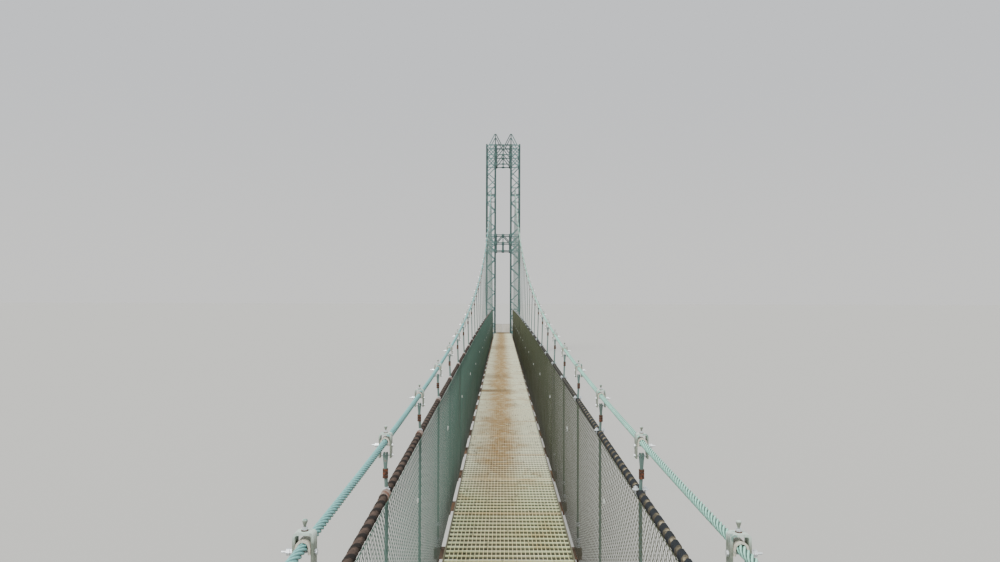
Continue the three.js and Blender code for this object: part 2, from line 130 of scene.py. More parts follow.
# Joints of the lacing with the posts: height of the first, and how many follow at the pitch
LACING_RUNS = ((130 * MM, 7), (576 * MM, 4), (800 * MM, 3))
LOWER_PORTAL = [447 * MM, 490 * MM, 533 * MM]
UPPER_PORTAL = [918 * MM, 969.5 * MM, 1021 * MM]

# Half lengths of the stretches about mid-span where the ropes are modelled more finely
FINE_CABLE_HALF = 8.5 * BAY
FINE_RAIL_HALF = 15.5 * BAY

# How many straight pieces the lines of the ropes have
CABLE_HALF_PIECES = 410
SADDLE_PIECES = 16
STAY_PIECES = 100
RAIL_PIECES = 408

# The photographed view: place and direction of the camera
CAMERA_PLACE = (-5.25 * MM, -132.3 * MM, 289.7 * MM)
CAMERA_YAW = -0.00247
CAMERA_PITCH = 0.0245
CAMERA_ROLL = 0.0026
CAMERA_LENS = 28.0


def srgb(red, green, blue):
    """A display colour, 0 to 255 a channel, as the linear colour that shaders take."""
    linear = []
    for channel in (red, green, blue):
        share = channel / 255
        linear.append(share / 12.92 if share <= 0.04045 else ((share + 0.055) / 1.055) ** 2.4)
    return tuple(linear)


# Lines of the bridge


def cable_height(y):
    return DECK_TOP + CABLE_LOW + CABLE_SAG * y * y


def cable_x(y):
    return CABLE_X_MID + (CABLE_X_TOWER - CABLE_X_MID) * (y / TOWER_Y) ** 2


def rail_height(y):
    risen = 1 - math.exp(-((abs(y) / RAIL_REACH) ** RAIL_POWER))
    return DECK_TOP + RAIL_LOW + RAIL_RISE * risen


def hanger_places():
    return [(k + 0.5) * BAY for k in range(-HANGERS_PER_HALF, HANGERS_PER_HALF)]


def evenly(start, end, pitch, first=0.0):
    """Places between a start and an end that lie at a pitch, counted from a first one."""
    low, high = math.ceil((start - first) / pitch), math.floor((end - first) / pitch)
    return [first + k * pitch for k in range(low, high + 1)]


def facing(end):
    """The half turn that brings a piece made for the far end, 1, to the near end, -1."""
    return Matrix.Rotation(0 if end > 0 else math.pi, 4, "Z")


def deck_sections():
    """Number, start and end of each length of deck."""
    cuts = [-DECK_END, *DECK_JOINTS, DECK_END]
    sections = []
    for k, (low, high) in enumerate(zip(cuts, cuts[1:])):
        start = low if k == 0 else low + FIT / 2
        end = high if k == len(cuts) - 2 else high - FIT / 2
        sections.append((k + 1, start, end))
    return sections


def saddle_arc():
    """Slopes of the span and the stay at a saddle, and the centre of the bend between them."""
    span = math.atan(2 * CABLE_SAG * TOWER_Y)
    stay = math.atan((DECK_TOP + SADDLE_HIGH - ANCHOR_POINT_Z) / (ANCHOR_Y - TOWER_Y))
    reach = SADDLE_RADIUS * math.tan((span + stay) / 2)
    start_y = TOWER_Y - reach * math.cos(span)
    start_z = DECK_TOP + SADDLE_HIGH - reach * math.sin(span)
    centre_y = start_y + SADDLE_RADIUS * math.sin(span)
    centre_z = start_z - SADDLE_RADIUS * math.cos(span)
    return span, stay, centre_y, centre_z


def cable_line(side):
    """A main cable's points from the near anchor block to the far one."""
    span, stay, centre_y, centre_z = saddle_arc()
    start_y = centre_y - SADDLE_RADIUS * math.sin(span)
    half = []
    for k in range(CABLE_HALF_PIECES):
        y = start_y * (k + 0.5) / CABLE_HALF_PIECES
        half.append((cable_x(y), y, cable_height(y)))
    for k in range(SADDLE_PIECES + 1):
        angle = span - (span + stay) * k / SADDLE_PIECES
        y = centre_y - SADDLE_RADIUS * math.sin(angle)
        half.append((CABLE_X_TOWER, y, centre_z + SADDLE_RADIUS * math.cos(angle)))
    end = (ANCHOR_Y - FIT * math.cos(stay), ANCHOR_POINT_Z + FIT * math.sin(stay))
    top = Vector(half[-1][1:])
    for k in range(1, STAY_PIECES + 1):
        half.append((CABLE_X_TOWER, *top.lerp(Vector(end), k / STAY_PIECES)))
    near = [Vector((side * x, -y, z)) for x, y, z in reversed(half)]
    return near + [Vector((side * x, y, z)) for x, y, z in half]


def rail_line(side):
    end = TOWER_FACE - FIT
    places = [end * (2 * k / RAIL_PIECES - 1) for k in range(RAIL_PIECES + 1)]
    return [Vector((side * RAIL_X, y, rail_height(y))) for y in places]


class Route:
    """A line of points that can be asked for the point at a distance along it."""

    def __init__(self, points):
        self.points = points
        self.distances = [0.0]
        for before, after in zip(points, points[1:]):
            self.distances.append(self.distances[-1] + (after - before).length)
        self.length = self.distances[-1]

    def share_at(self, marks, value):
        """Which piece of the line a value lies in by its marks, and the share of it before the value."""
        index = min(max(bisect.bisect_right(marks, value) - 1, 0), len(marks) - 2)
        return index, (value - marks[index]) / (marks[index + 1] - marks[index])

    def point_at(self, distance):
        index, share = self.share_at(self.distances, distance)
        return self.points[index].lerp(self.points[index + 1], share)

    def distance_at(self, y):
        index, share = self.share_at([point.y for point in self.points], y)
        start, end = self.distances[index], self.distances[index + 1]
        return start + share * (end - start)


# Shapes


def add_box(bm, low, high):
    low, high = Vector(low), Vector(high)
    place = Matrix.Translation((low + high) / 2) @ Matrix.Diagonal((*(high - low), 1))
    return bmesh.ops.create_cube(bm, size=1, matrix=place)["verts"]


def add_rod(bm, start, end, radius, sides, end_radius=None):
    """A round or many-sided bar from one point to another, closed at both ends."""
    start, end = Vector(start), Vector(end)
    along = end - start
    turn = Vector((0, 0, 1)).rotation_difference(along).to_matrix().to_4x4()
    return bmesh.ops.create_cone(
        bm,
        cap_ends=True,
        segments=sides,
        radius1=radius,
        radius2=radius if end_radius is None else end_radius,
        depth=along.length,
        matrix=Matrix.Translation((start + end) / 2) @ turn,
    )["verts"]


def add_upright(bm, low, high, radius, sides, x=0.0, y=0.0):
    """A round or many-sided bar that stands from one height to another."""
    return add_rod(bm, (x, y, low), (x, y, high), radius, sides)


def add_turned(bm, profile, sides):
    """A body turned about Z, its profile given as (radius, height) pairs in mm from foot to top."""
    corners = [(0, profile[0][1]), *profile, (0, profile[-1][1])]
    verts = [bm.verts.new((radius * MM, 0, height * MM)) for radius, height in corners]
    edges = [bm.edges.new(pair) for pair in zip(verts, verts[1:])]
    bmesh.ops.spin(
        bm,
        geom=[*verts, *edges],
        cent=(0, 0, 0),
        axis=(0, 0, 1),
        angle=2 * math.pi,
        steps=sides,
        use_merge=True,
        use_duplicate=False,
    )


def add_prism(bm, outline, across):
    """A flat outline drawn out into a closed bar or plate."""
    face = bm.faces.new([bm.verts.new(point) for point in outline])
    made = bmesh.ops.extrude_face_region(bm, geom=[face], use_keep_orig=True)
    moved = [part for part in made["geom"] if isinstance(part, bmesh.types.BMVert)]
    bmesh.ops.translate(bm, vec=across, verts=moved)
    return moved


def add_hoop(bm, centre, axis, start, radius, wire, angle, steps=6, sides=5):
    """Part of a ring of round wire about an axis, closed at both ends."""
    axis, start = Vector(axis).normalized(), Vector(start).normalized()
    # The circle lies in its own XY plane, which is stood across the ring
    turn = Matrix((start, axis, start.cross(axis))).transposed().to_4x4()
    place = Matrix.Translation(Vector(centre) + radius * start) @ turn
    made = bmesh.ops.create_circle(bm, cap_ends=True, radius=wire, segments=sides, matrix=place)
    verts = made["verts"]
    edges = {edge for vert in verts for edge in vert.link_edges}
    faces = {face for vert in verts for face in vert.link_faces}
    bmesh.ops.spin(
        bm,
        geom=[*verts, *edges, *faces],
        cent=centre,
        axis=axis,
        angle=angle,
        steps=steps,
        use_merge=False,
        use_duplicate=False,
    )


def mirrored(half):
    """A whole outline from its right half, which is listed from end to end."""
    return half + [(-across, height) for across, height in reversed(half)]


def bent_bar(half_width, top, bottom, corner, thickness, bends):
    """Outline of an upturned U of flat bar, as (x, z) points, with rounded upper corners."""
    outline = []
    for half, high, radius in (
        (half_width, top, corner),
        (half_width - thickness, top - thickness, corner - thickness),
    ):
        run = [(-half, bottom)]
        for side in (-1, 1):
            angles = [math.pi / 2 * k / bends for k in range(bends + 1)]
            if side > 0:
                angles.reverse()
            for angle in angles:
                x = side * (half - radius + radius * math.cos(angle))
                run.append((x, high - radius + radius * math.sin(angle)))
        run.append((half, bottom))
        outline.append(run)
    return outline[0] + outline[1][::-1]


def add_strap(bm, size, bends=3):
    """An upturned U of flat bar, drawn out along Y, its sizes given in mm."""
    names = ("half_width", "top", "bottom", "corner", "thick")
    shape = bent_bar(*(size[name] * MM for name in names), bends)
    half_long = size["long"] / 2 * MM
    add_prism(bm, [(x, -half_long, z) for x, z in shape], (0, 2 * half_long, 0))


def round_edges(bm, edges, radius):
    bmesh.ops.bevel(
        bm, geom=edges, offset=radius, affect="EDGES", segments=2, profile=0.5, material=-1
    )


def bodies(bm):
    """The closed bodies of a bmesh, each a list of faces that edges join."""
    found = set()
    for start in bm.faces:
        if start in found:
            continue
        found.add(start)
        body, waiting = [], [start]
        while waiting:
            face = waiting.pop()
            body.append(face)
            beside = {other for edge in face.edges for other in edge.link_faces} - found
            found |= beside
            waiting.extend(beside)
        yield body


def volume(body):
    """Six times a body's volume, below zero where its faces point inwards."""
    origin = body[0].verts[0].co
    total = 0.0
    for face in body:
        first, *others = [vert.co - origin for vert in face.verts]
        total += sum(first.dot(second.cross(third)) for second, third in zip(others, others[1:]))
    return total


def made_solid(bm, merge=1e-7):
    """Doubles merged and faces turned outwards, ready for a piece."""
    bmesh.ops.remove_doubles(bm, verts=bm.verts, dist=merge)
    bmesh.ops.recalc_face_normals(bm, faces=bm.faces)
    # The faces of a bent body, such as a hoop, can all have come out inwards
    for body in list(bodies(bm)):
        if volume(body) < 0:
            bmesh.ops.reverse_faces(bm, faces=body)
    return bm


def finished(name, bm, material, replaces=(), crease=50):
    """Turns a bmesh into a piece of the bridge, smooth but for edges sharper than the crease."""
    mesh = bpy.data.meshes.new(name)
    bm.to_mesh(mesh)
    bm.free()
    mesh.shade_smooth()
    if crease < 180:
        mesh.set_sharp_from_angle(angle=math.radians(crease))
    mesh.materials.append(material)
    piece = bpy.data.objects.new(name, mesh)
    bpy.context.scene.collection.objects.link(piece)
    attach(piece, "root")
    if replaces:
        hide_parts(*replaces)
    return piece


def mark_heights(bm, low, high):
    """A UV map whose V runs from 0 to 1 between two heights."""
    layer = bm.loops.layers.uv.verify()
    for face in bm.faces:
        for loop in face.loops:
            share = min(max((loop.vert.co.z - low) / (high - low), 0), 1)
            loop[layer].uv = (loop.vert.co.x, share)


def as_template(bm):
    mesh = bpy.data.meshes.new("template")
    made_solid(bm).to_mesh(mesh)
    bm.free()
    return mesh


def repeated(template, places, whole=None):
    """Adds the template once at each place to a bmesh, a new one unless it is given."""
    whole = whole or bmesh.new()
    for place in places:
        copy = template.copy()
        copy.transform(place)
        whole.from_mesh(copy)
        bpy.data.meshes.remove(copy)
    bpy.data.meshes.remove(template)
    return whole


def fitted(name, template, places, material):
    """One piece of all copies of a template."""
    return finished(name, made_solid(repeated(template, places)), material)


def curve_mesh(curve):
    """The mesh of a curve, which is then removed."""
    shown = bpy.data.objects.new(curve.name, curve)
    bpy.context.scene.collection.objects.link(shown)
    graph = bpy.context.evaluated_depsgraph_get()
    mesh = bpy.data.meshes.new_from_object(shown.evaluated_get(graph))
    bpy.data.objects.remove(shown)
    bpy.data.curves.remove(curve)
    return mesh


def swept(bm, route, start, end, step, radii, pitch, twisted=True):
    """A rope laid along part of a route, its outline given as radii at even angles.

    The outline makes one turn in each pitch. Where it isn't twisted, only the UV map turns, so a
    painted pattern goes on where a modelled one ends. U is the distance along, V the turn.
    """
    outline = bpy.data.curves.new("outline", "CURVE")
    outline.dimensions = "2D"
    ring = outline.splines.new("POLY")
    ring.points.add(len(radii) - 1)
    for k, (point, radius) in enumerate(zip(ring.points, radii)):
        angle = 2 * math.pi * k / len(radii)
        point.co = (radius * math.cos(angle), radius * math.sin(angle), 0, 1)
    ring.use_cyclic_u = True
    shape = bpy.data.objects.new("outline", outline)
    bpy.context.scene.collection.objects.link(shape)

    rope = bpy.data.curves.new("rope", "CURVE")
    rope.dimensions = "3D"
    rope.twist_mode = "Z_UP"
    rope.bevel_mode = "OBJECT"
    rope.bevel_object = shape
    rope.use_fill_caps = True
    count = max(math.ceil((end - start) / step), 1)
    line = rope.splines.new("POLY")
    line.points.add(count)
    for k, point in enumerate(line.points):
        distance = start + (end - start) * k / count
        point.co = (*route.point_at(distance), 1)
        # A tilt is capped at sixty turns, so whole turns are left out
        point.tilt = 2 * math.pi * (distance / pitch % 1) if twisted else 0
    mesh = curve_mesh(rope)
    bpy.data.objects.remove(shape)
    bpy.data.curves.remove(outline)
    for loop in mesh.uv_layers[0].data:
        distance = start + (end - start) * loop.uv[0]
        loop.uv = (distance, loop.uv[1] + (0 if twisted else distance / pitch))
    bm.from_mesh(mesh)
    bpy.data.meshes.remove(mesh)


def laid_rope(route, fine_half, fine, plain, pitch, twisted=True):
    """A rope that is fine within a distance of mid-span, and plain from there to both ends.

    Fine and plain are each the length of a step and the radii of the outline. Twisted tells whether
    the plain stretches turn too.
    """
    low, high = [route.distance_at(y) for y in (-fine_half, fine_half)]
    bm = bmesh.new()
    swept(bm, route, 0, low, *plain, pitch, twisted)
    swept(bm, route, low, high, *fine, pitch)
    swept(bm, route, high, route.length, *plain, pitch, twisted)
    return made_solid(bm, merge=1e-6)


def add_wires(bm, lines, radius):
    """Four-sided wires, each through its own points."""
    wires = bpy.data.curves.new("wires", "CURVE")
    wires.dimensions = "3D"
    wires.bevel_depth = radius
    wires.bevel_resolution = 0
    wires.use_fill_caps = True
    for line in lines:
        wire = wires.splines.new("POLY")
        wire.points.add(len(line) - 1)
        for point, place in zip(wire.points, line):
            point.co = (*place, 1)
    mesh = curve_mesh(wires)
    bm.from_mesh(mesh)
    bpy.data.meshes.remove(mesh)


# Finishes


def node(tree, kind, sockets=None, **settings):
    """Adds a node, with its settings and the values or links of its inputs."""
    made = tree.nodes.new(kind)
    for name, value in settings.items():
        setattr(made, name, value)
    for name, value in (sockets or {}).items():
        socket = made.inputs[name]
        if isinstance(value, bpy.types.NodeSocket):
            tree.links.new(value, socket)
        elif socket.type == "RGBA":
            socket.default_value = (*value, 1)
        else:
            socket.default_value = value
    return made


def maths(tree, operation, *values):
    made = node(tree, "ShaderNodeMath", dict(enumerate(values)), operation=operation)
    return made.outputs[0]


def times(tree, first, second):
    return maths(tree, "MULTIPLY", first, second)


def apart(tree, first, second):
    """The distance between two values."""
    return maths(tree, "ABSOLUTE", maths(tree, "SUBTRACT", first, second))


def axes(tree, vector):
    """The coordinates of a vector, in order or by their letters."""
    return node(tree, "ShaderNodeSeparateXYZ", {"Vector": vector}).outputs


def noise(tree, vector, scale, detail=3.0, roughness=0.5):
    sockets = {"Vector": vector, "Scale": scale, "Detail": detail, "Roughness": roughness}
    return node(tree, "ShaderNodeTexNoise", sockets).outputs["Fac"]


def between(tree, value, low, high, to_low=0.0, to_high=1.0):
    """Eases a value from one range into another, and holds it at the ends."""
    sockets = {"Value": value, "From Min": low, "From Max": high, "To Min": to_low, "To Max": to_high}
    return node(tree, "ShaderNodeMapRange", sockets, interpolation_type="SMOOTHSTEP").outputs["Result"]


def mixed(tree, factor, first, second):
    """A colour between two, each of them a colour or a link."""
    sockets = {0: factor, 6: first, 7: second}
    return node(tree, "ShaderNodeMix", sockets, data_type="RGBA").outputs[2]


def toned(colour, share, lift=0.0):
    """A colour made darker or lighter, with no channel past 1."""
    return tuple(min(channel * share + lift, 1) for channel in colour)


def effect(name, inputs, outputs, build):
    """A shader node group, built once: inputs are (name, default), outputs are names."""
    if name in bpy.data.node_groups:
        return bpy.data.node_groups[name]
    tree = bpy.data.node_groups.new(name, "ShaderNodeTree")
    for socket_name, default in inputs:
        kind = "NodeSocketVector" if default is None else "NodeSocketFloat"
        socket = tree.interface.new_socket(socket_name, in_out="INPUT", socket_type=kind)
        if default is not None:
            socket.default_value = default
    for socket_name in outputs:
        tree.interface.new_socket(socket_name, in_out="OUTPUT", socket_type="NodeSocketFloat")
    given = node(tree, "NodeGroupInput").outputs
    result = node(tree, "NodeGroupOutput")
    for socket_name, value in build(tree, given).items():
        tree.links.new(value, result.inputs[socket_name])
    return tree


def placed(tree, group, **values):
    """The outputs of a node group in a material, with its inputs by name."""
    return node(tree, "ShaderNodeGroup", values, node_tree=group).outputs


def weather_patches():
    """Blotches where paint is faded, worn or dirty."""

    def build(tree, given):
        scale = maths(tree, "DIVIDE", 1.0, given["Size"])
        broad = noise(tree, given["Vector"], scale, 5.0, 0.65)
        low = maths(tree, "SUBTRACT", 0.72, times(tree, given["Share"], 0.44))
        high = maths(tree, "ADD", low, 0.12)
        return {"Mask": between(tree, broad, low, high), "Tone": broad}

    inputs = [("Vector", None), ("Size", 0.02), ("Share", 0.5)]
    return effect("Weather patches", inputs, ["Mask", "Tone"], build)


def rain_streaks():
    """Marks that run straight down."""

    def build(tree, given):
        across = maths(tree, "DIVIDE", 1.0, given["Width"])
        down = maths(tree, "DIVIDE", across, 14.0)
        scale = node(tree, "ShaderNodeCombineXYZ", {"X": across, "Y": across, "Z": down}).outputs[0]
        factors = {0: given["Vector"], 1: scale}
        stretched = node(tree, "ShaderNodeVectorMath", factors, operation="MULTIPLY").outputs[0]
        return {"Mask": between(tree, noise(tree, stretched, 1.0, 3.0, 0.6), 0.5, 0.72)}

    return effect("Rain streaks", [("Vector", None), ("Width", 0.004)], ["Mask"], build)


def surface_grain():
    """Fine unevenness of paint, cast or rolled metal."""

    def build(tree, given):
        scale = maths(tree, "DIVIDE", 1.0, given["Size"])
        coarse = noise(tree, given["Vector"], scale, 4.0, 0.6)
        fine = noise(tree, given["Vector"], times(tree, scale, 5.0), 2.0, 0.5)
        height = maths(tree, "ADD", coarse, times(tree, fine, 0.35))
        return {"Height": height, "Speckle": between(tree, fine, 0.45, 0.7)}

    return effect("Surface grain", [("Vector", None), ("Size", 0.002)], ["Height", "Speckle"], build)


def rust_bloom():
    """Rust that has broken through in spots, and how deep its colour is."""

    def build(tree, given):
        scale = maths(tree, "DIVIDE", 1.0, given["Size"])
        spots = noise(tree, given["Vector"], scale, 6.0, 0.7)
        low = maths(tree, "SUBTRACT", 0.75, times(tree, given["Share"], 0.4))
        mask = between(tree, spots, low, maths(tree, "ADD", low, 0.06))
        depth = noise(tree, given["Vector"], times(tree, scale, 3.0), 3.0, 0.6)
        return {"Mask": mask, "Depth": between(tree, depth, 0.35, 0.65)}

    inputs = [("Vector", None), ("Size", 0.006), ("Share", 0.3)]
    return effect("Rust bloom", inputs, ["Mask", "Depth"], build)


def strand_grooves():
    """Grooves between the strands of a laid rope, from the turn in its UV map."""

    def build(tree, given):
        turn = axes(tree, given["Vector"])["Y"]
        off_centre = apart(tree, maths(tree, "FRACT", times(tree, turn, given["Strands"])), 0.5)
        return {"Groove": between(tree, off_centre, 0.2, 0.44), "Off centre": off_centre}

    inputs = [("Vector", None), ("Strands", 6.0)]
    return effect("Strand grooves", inputs, ["Groove", "Off centre"], build)


def rope_sides():
    """How far a rope's surface faces up, from 1 on top to -1 below, from its UV map."""

    def build(tree, given):
        along, turn, _ = axes(tree, given["Vector"])
        turn = maths(tree, "SUBTRACT", turn, maths(tree, "DIVIDE", along, given["Pitch"]))
        return {"Up": maths(tree, "SINE", times(tree, turn, 2 * math.pi))}

    return effect("Rope sides", [("Vector", None), ("Pitch", 0.018)], ["Up"], build)


def new_material(name, roughness=0.6, metallic=0.0):
    """A material with its node tree, its shader and the two sets of coordinates it may read."""
    material = bpy.data.materials.new(name)
    material.use_nodes = True
    tree = material.node_tree
    shader = tree.nodes["Principled BSDF"]
    shader.inputs["Roughness"].default_value = roughness
    shader.inputs["Metallic"].default_value = metallic
    place = node(tree, "ShaderNodeTexCoord")
    return material, tree, shader, place.outputs["Object"], place.outputs["UV"]


def link_finish(tree, shader, colour, tone=None, smooth=0.0, rough=0.0):
    """Gives a shader its colour, and a roughness that follows a tone from smooth to rough."""
    tree.links.new(colour, shader.inputs["Base Color"])
    if tone is not None:
        tree.links.new(between(tree, tone, 0.3, 0.7, smooth, rough), shader.inputs["Roughness"])


def raised(tree, shader, height, depth):
    bump = node(tree, "ShaderNodeBump", {"Height": height, "Distance": depth})
    tree.links.new(bump.outputs["Normal"], shader.inputs["Normal"])


def rust_colour(tree, depth, colours):
    return mixed(tree, depth, colours.rust_light, colours.rust_dark)


def painted_rope(name, paint, sizes, filled, stain_share, colours):
    """Paint over a laid wire rope: painted highlights on the crowns, painted shade in the grooves and
    underneath, faded patches and bleeding rust.

    Filled is how far paint fills the grooves on top and weakens their painted shade, as a share.
    """
    material, tree, shader, where, around = new_material(name)
    lay = placed(tree, strand_grooves(), Vector=around, Strands=sizes.strands)
    up = placed(tree, rope_sides(), Vector=around, Pitch=sizes.cable_lay)["Up"]
    faded = placed(tree, weather_patches(), Vector=where, Size=0.02, Share=0.5)
    rust = placed(tree, rust_bloom(), Vector=where, Size=0.01, Share=stain_share)
    grain = placed(tree, surface_grain(), Vector=where, Size=0.0008)
    pale = toned(paint, 1.6, 0.03)
    # Painted shade: darker towards the underside
    colour = mixed(tree, between(tree, up, -0.8, 0.5), toned(paint, 0.6), paint)
    # Painted highlight on the crown of each strand, strongest on top
    crown = between(tree, lay["Off centre"], 0.0, 0.26, 0.75, 0.0)
    crown = times(tree, crown, between(tree, up, -0.2, 0.8, 0.15, 1.0))
    colour = mixed(tree, crown, colour, pale)
    colour = mixed(tree, times(tree, faded["Mask"], 0.3), colour, pale)
    bleed = times(tree, rust["Mask"], between(tree, up, -0.5, 0.5, 0.7, 0.15))
    colour = mixed(tree, bleed, colour, rust_colour(tree, rust["Depth"], colours))
    # Painted shade in the grooves, weaker on top where paint fills them
    groove = times(tree, lay["Groove"], between(tree, up, -0.3, 0.6, 1.0, 1.0 - filled))
    colour = mixed(tree, groove, colour, toned(paint, 0.12))
    link_finish(tree, shader, colour, faded["Tone"], 0.42, 0.62)
    raised(tree, shader, grain["Height"], 0.06 * MM)
    return material


def lashed_rope(name, cord, rope, under, shade, share, pitch, colours):
    """A rope wrapped with bands of thin cord, from the turn in its UV map, bleached in spots on top.

    Under is how bright the rope is where it isn't bleached, as a share of its own colour. Share is
    how much of each pitch the cord covers, and shade how far painted shade reaches beside a band.
    """
    material, tree, shader, where, around = new_material(name, roughness=0.85)
    up = placed(tree, rope_sides(), Vector=around, Pitch=pitch)["Up"]
    phase = maths(tree, "FRACT", axes(tree, around)["Y"])
    half = share / 2
    band = between(tree, apart(tree, phase, half), half - 0.02, half + 0.02, 1.0, 0.0)
    # Painted shade in the crease beside each band of cord
    crease = between(tree, apart(tree, phase, half + 0.5), 0.5 - half - shade, 0.5 - half, 0.0, 0.9)
    worn = placed(tree, weather_patches(), Vector=where, Size=0.003, Share=0.5)
    fibres = noise(tree, where, 2600.0, 2.0, 0.6)
    cord_colour = mixed(tree, worn["Tone"], toned(cord, 0.6), toned(cord, 1.5))
    # The bleached spots are fewer away from mid-span
    spots = between(tree, worn["Tone"], 0.42, 0.52, 0.15, 1.0)
    from_middle = maths(tree, "ABSOLUTE", axes(tree, where)["Y"])
    spots = times(tree, spots, between(tree, from_middle, 0.4, 1.1, 1.0, 0.4))
    spots = times(tree, spots, between(tree, noise(tree, where, 140.0), 0.42, 0.56, 0.3, 1.0))
    bleached = times(tree, between(tree, up, 0.35, 0.9), spots)
    rope_colour = mixed(tree, bleached, toned(rope, under), rope)
    rope_colour = mixed(tree, crease, rope_colour, toned(rope, 0.15))
    colour = mixed(tree, band, rope_colour, cord_colour)
    shaded = times(tree, between(tree, fibres, 0.35, 0.65), 0.3)
    link_finish(tree, shader, mixed(tree, shaded, colour, toned(colours.grime_and_shade, 0.5)))
    # How many turns of cord would fill a whole pitch
    cords = 12
    turns = maths(tree, "SINE", times(tree, phase, 2 * math.pi * cords))
    raised(tree, shader, maths(tree, "ADD", times(tree, turns, 0.5), fibres), 0.12 * MM)
    return material


def worn_paint(
    name, paint, under, colours, share, rust_share=0.25, size=0.004, roughness=0.6, leg_shade=None
):
    """Old paint that has worn through to another coat, with rust spots and drip marks.

    Leg shade is the colour of painted shade that the paint takes low down, by the height in the UV map.
    """
    material, tree, shader, where, around = new_material(name)
    worn = placed(tree, weather_patches(), Vector=where, Size=size, Share=share)
    rust = placed(tree, rust_bloom(), Vector=where, Size=size, Share=rust_share)
    streaks = placed(tree, rain_streaks(), Vector=where, Width=size / 2)
    grain = placed(tree, surface_grain(), Vector=where, Size=size / 4)
    colour = mixed(tree, worn["Tone"], toned(paint, 0.75), toned(paint, 1.2, 0.02))
    colour = mixed(tree, worn["Mask"], colour, under)
    if leg_shade is not None:
        # Painted shade, darker low down by the height in the UV map
        height = maths(tree, "SUBTRACT", axes(tree, around)["Y"], times(tree, worn["Tone"], 0.3))
        colour = mixed(tree, between(tree, height, 0.5, 0.85, 0.85, 0.0), colour, leg_shade)
    colour = mixed(tree, times(tree, streaks["Mask"], 0.4), colour, colours.grime_and_shade)
    colour = mixed(tree, rust["Mask"], colour, rust_colour(tree, rust["Depth"], colours))
    link_finish(tree, shader, colour, worn["Tone"], roughness - 0.12, roughness + 0.12)
    height = maths(tree, "SUBTRACT", grain["Height"], times(tree, worn["Mask"], 0.6))
    raised(tree, shader, height, size / 40)
    return material


def tower_paint(name, colours):
    """Matt tower paint: darker posts, lighter lacing, chalky patches and rain marks."""
    material, tree, shader, where, _ = new_material(name)
    from_leg = apart(tree, maths(tree, "ABSOLUTE", axes(tree, where)["X"]), LEG_X)
    post = between(tree, from_leg, POST_INNER - 0.7 * MM, POST_INNER + 0.1 * MM)
    chalk = placed(tree, weather_patches(), Vector=where, Size=0.06, Share=0.45)
    streaks = placed(tree, rain_streaks(), Vector=where, Width=0.007)
    rust = placed(tree, rust_bloom(), Vector=where, Size=0.02, Share=0.16)
    grain = placed(tree, surface_grain(), Vector=where, Size=0.003)
    paint = colours.tower
    colour = mixed(tree, post, toned(paint, 2.1, 0.03), toned(paint, 0.8))
    colour = mixed(tree, times(tree, chalk["Mask"], 0.45), colour, toned(paint, 1.5, 0.04))
    colour = mixed(tree, times(tree, streaks["Mask"], 0.35), colour, colours.grime_and_shade)
    colour = mixed(tree, rust["Mask"], colour, rust_colour(tree, rust["Depth"], colours))
    link_finish(tree, shader, colour, chalk["Tone"], 0.55, 0.8)
    raised(tree, shader, grain["Height"], 0.12 * MM)
    return material


def galvanised(name, colours, dull=0.0):
    """Zinc coating with its spangle, from new at 0 to dull at 1, built once for each name."""
    if name in bpy.data.materials:
        return bpy.data.materials[name]
    material, tree, shader, where, _ = new_material(name, metallic=0.5 + 0.2 * dull)
    cells = node(tree, "ShaderNodeTexVoronoi", {"Vector": where, "Scale": 1400.0})
    tone = node(tree, "ShaderNodeSeparateColor", {"Color": cells.outputs["Color"]}).outputs[0]
    colour = mixed(tree, tone, colours.zinc, toned(colours.zinc, 0.82 - 0.4 * dull))
    dirt = placed(tree, weather_patches(), Vector=where, Size=0.005, Share=0.12 + 0.38 * dull)
    colour = mixed(tree, times(tree, dirt["Mask"], 0.5), colour, colours.grime_and_shade)
    link_finish(tree, shader, colour, dirt["Tone"], 0.3 + 0.15 * dull, 0.5 + 0.2 * dull)
    grain = placed(tree, surface_grain(), Vector=where, Size=0.0006)
    raised(tree, shader, grain["Height"], 0.04 * MM)
    return material


def rusted(name, light, dark, colours, size=0.003, share=0.5):
    """Steel that is rusted all over, scaly, with lighter blooms."""
    material, tree, shader, where, _ = new_material(name, roughness=0.88, metallic=0.1)
    rust = placed(tree, rust_bloom(), Vector=where, Size=size, Share=share)
    grain = placed(tree, surface_grain(), Vector=where, Size=size / 4)
    colour = mixed(tree, rust["Depth"], dark, toned(dark, 0.6))
    colour = mixed(tree, times(tree, rust["Mask"], 0.75), colour, light)
    colour = mixed(tree, times(tree, grain["Speckle"], 0.25), colour, colours.grime_and_shade)
    link_finish(tree, shader, colour)
    raised(tree, shader, grain["Height"], size / 20)
    return material


def fence_coating(name, coat, colours):
    """Coated fence wire, faded in patches and dirty low down."""
    material, tree, shader, where, _ = new_material(name)
    faded = placed(tree, weather_patches(), Vector=where, Size=0.03, Share=0.5)
    colour = mixed(tree, faded["Tone"], toned(coat, 0.7), toned(coat, 1.35))
    bare = between(tree, noise(tree, where, 900.0, 2.0, 0.6), 0.62, 0.7, 0.0, 0.7)
    colour = mixed(tree, bare, colour, colours.rust_dark)
    low = between(tree, axes(tree, where)["Z"], FENCE_LOW, DECK_TOP + 20 * MM, 0.6, 0.0)
    colour = mixed(tree, low, colour, colours.grime_and_shade)
    link_finish(tree, shader, colour, faded["Tone"], 0.45, 0.7)
    return material


# Dark bands across the deck: distance from mid-span, half length and strength
DECK_DARK_BANDS = ((1420 * MM, 35 * MM, 1.0), (1710 * MM, 70 * MM, 0.6), (2840 * MM, 160 * MM, 0.6))
# How far the trodden track lies left of the middle
TRACK_LEFT = 8 * MM
# Distances from mid-span between which the green film fades out
FILM_FADE = (500 * MM, 800 * MM)


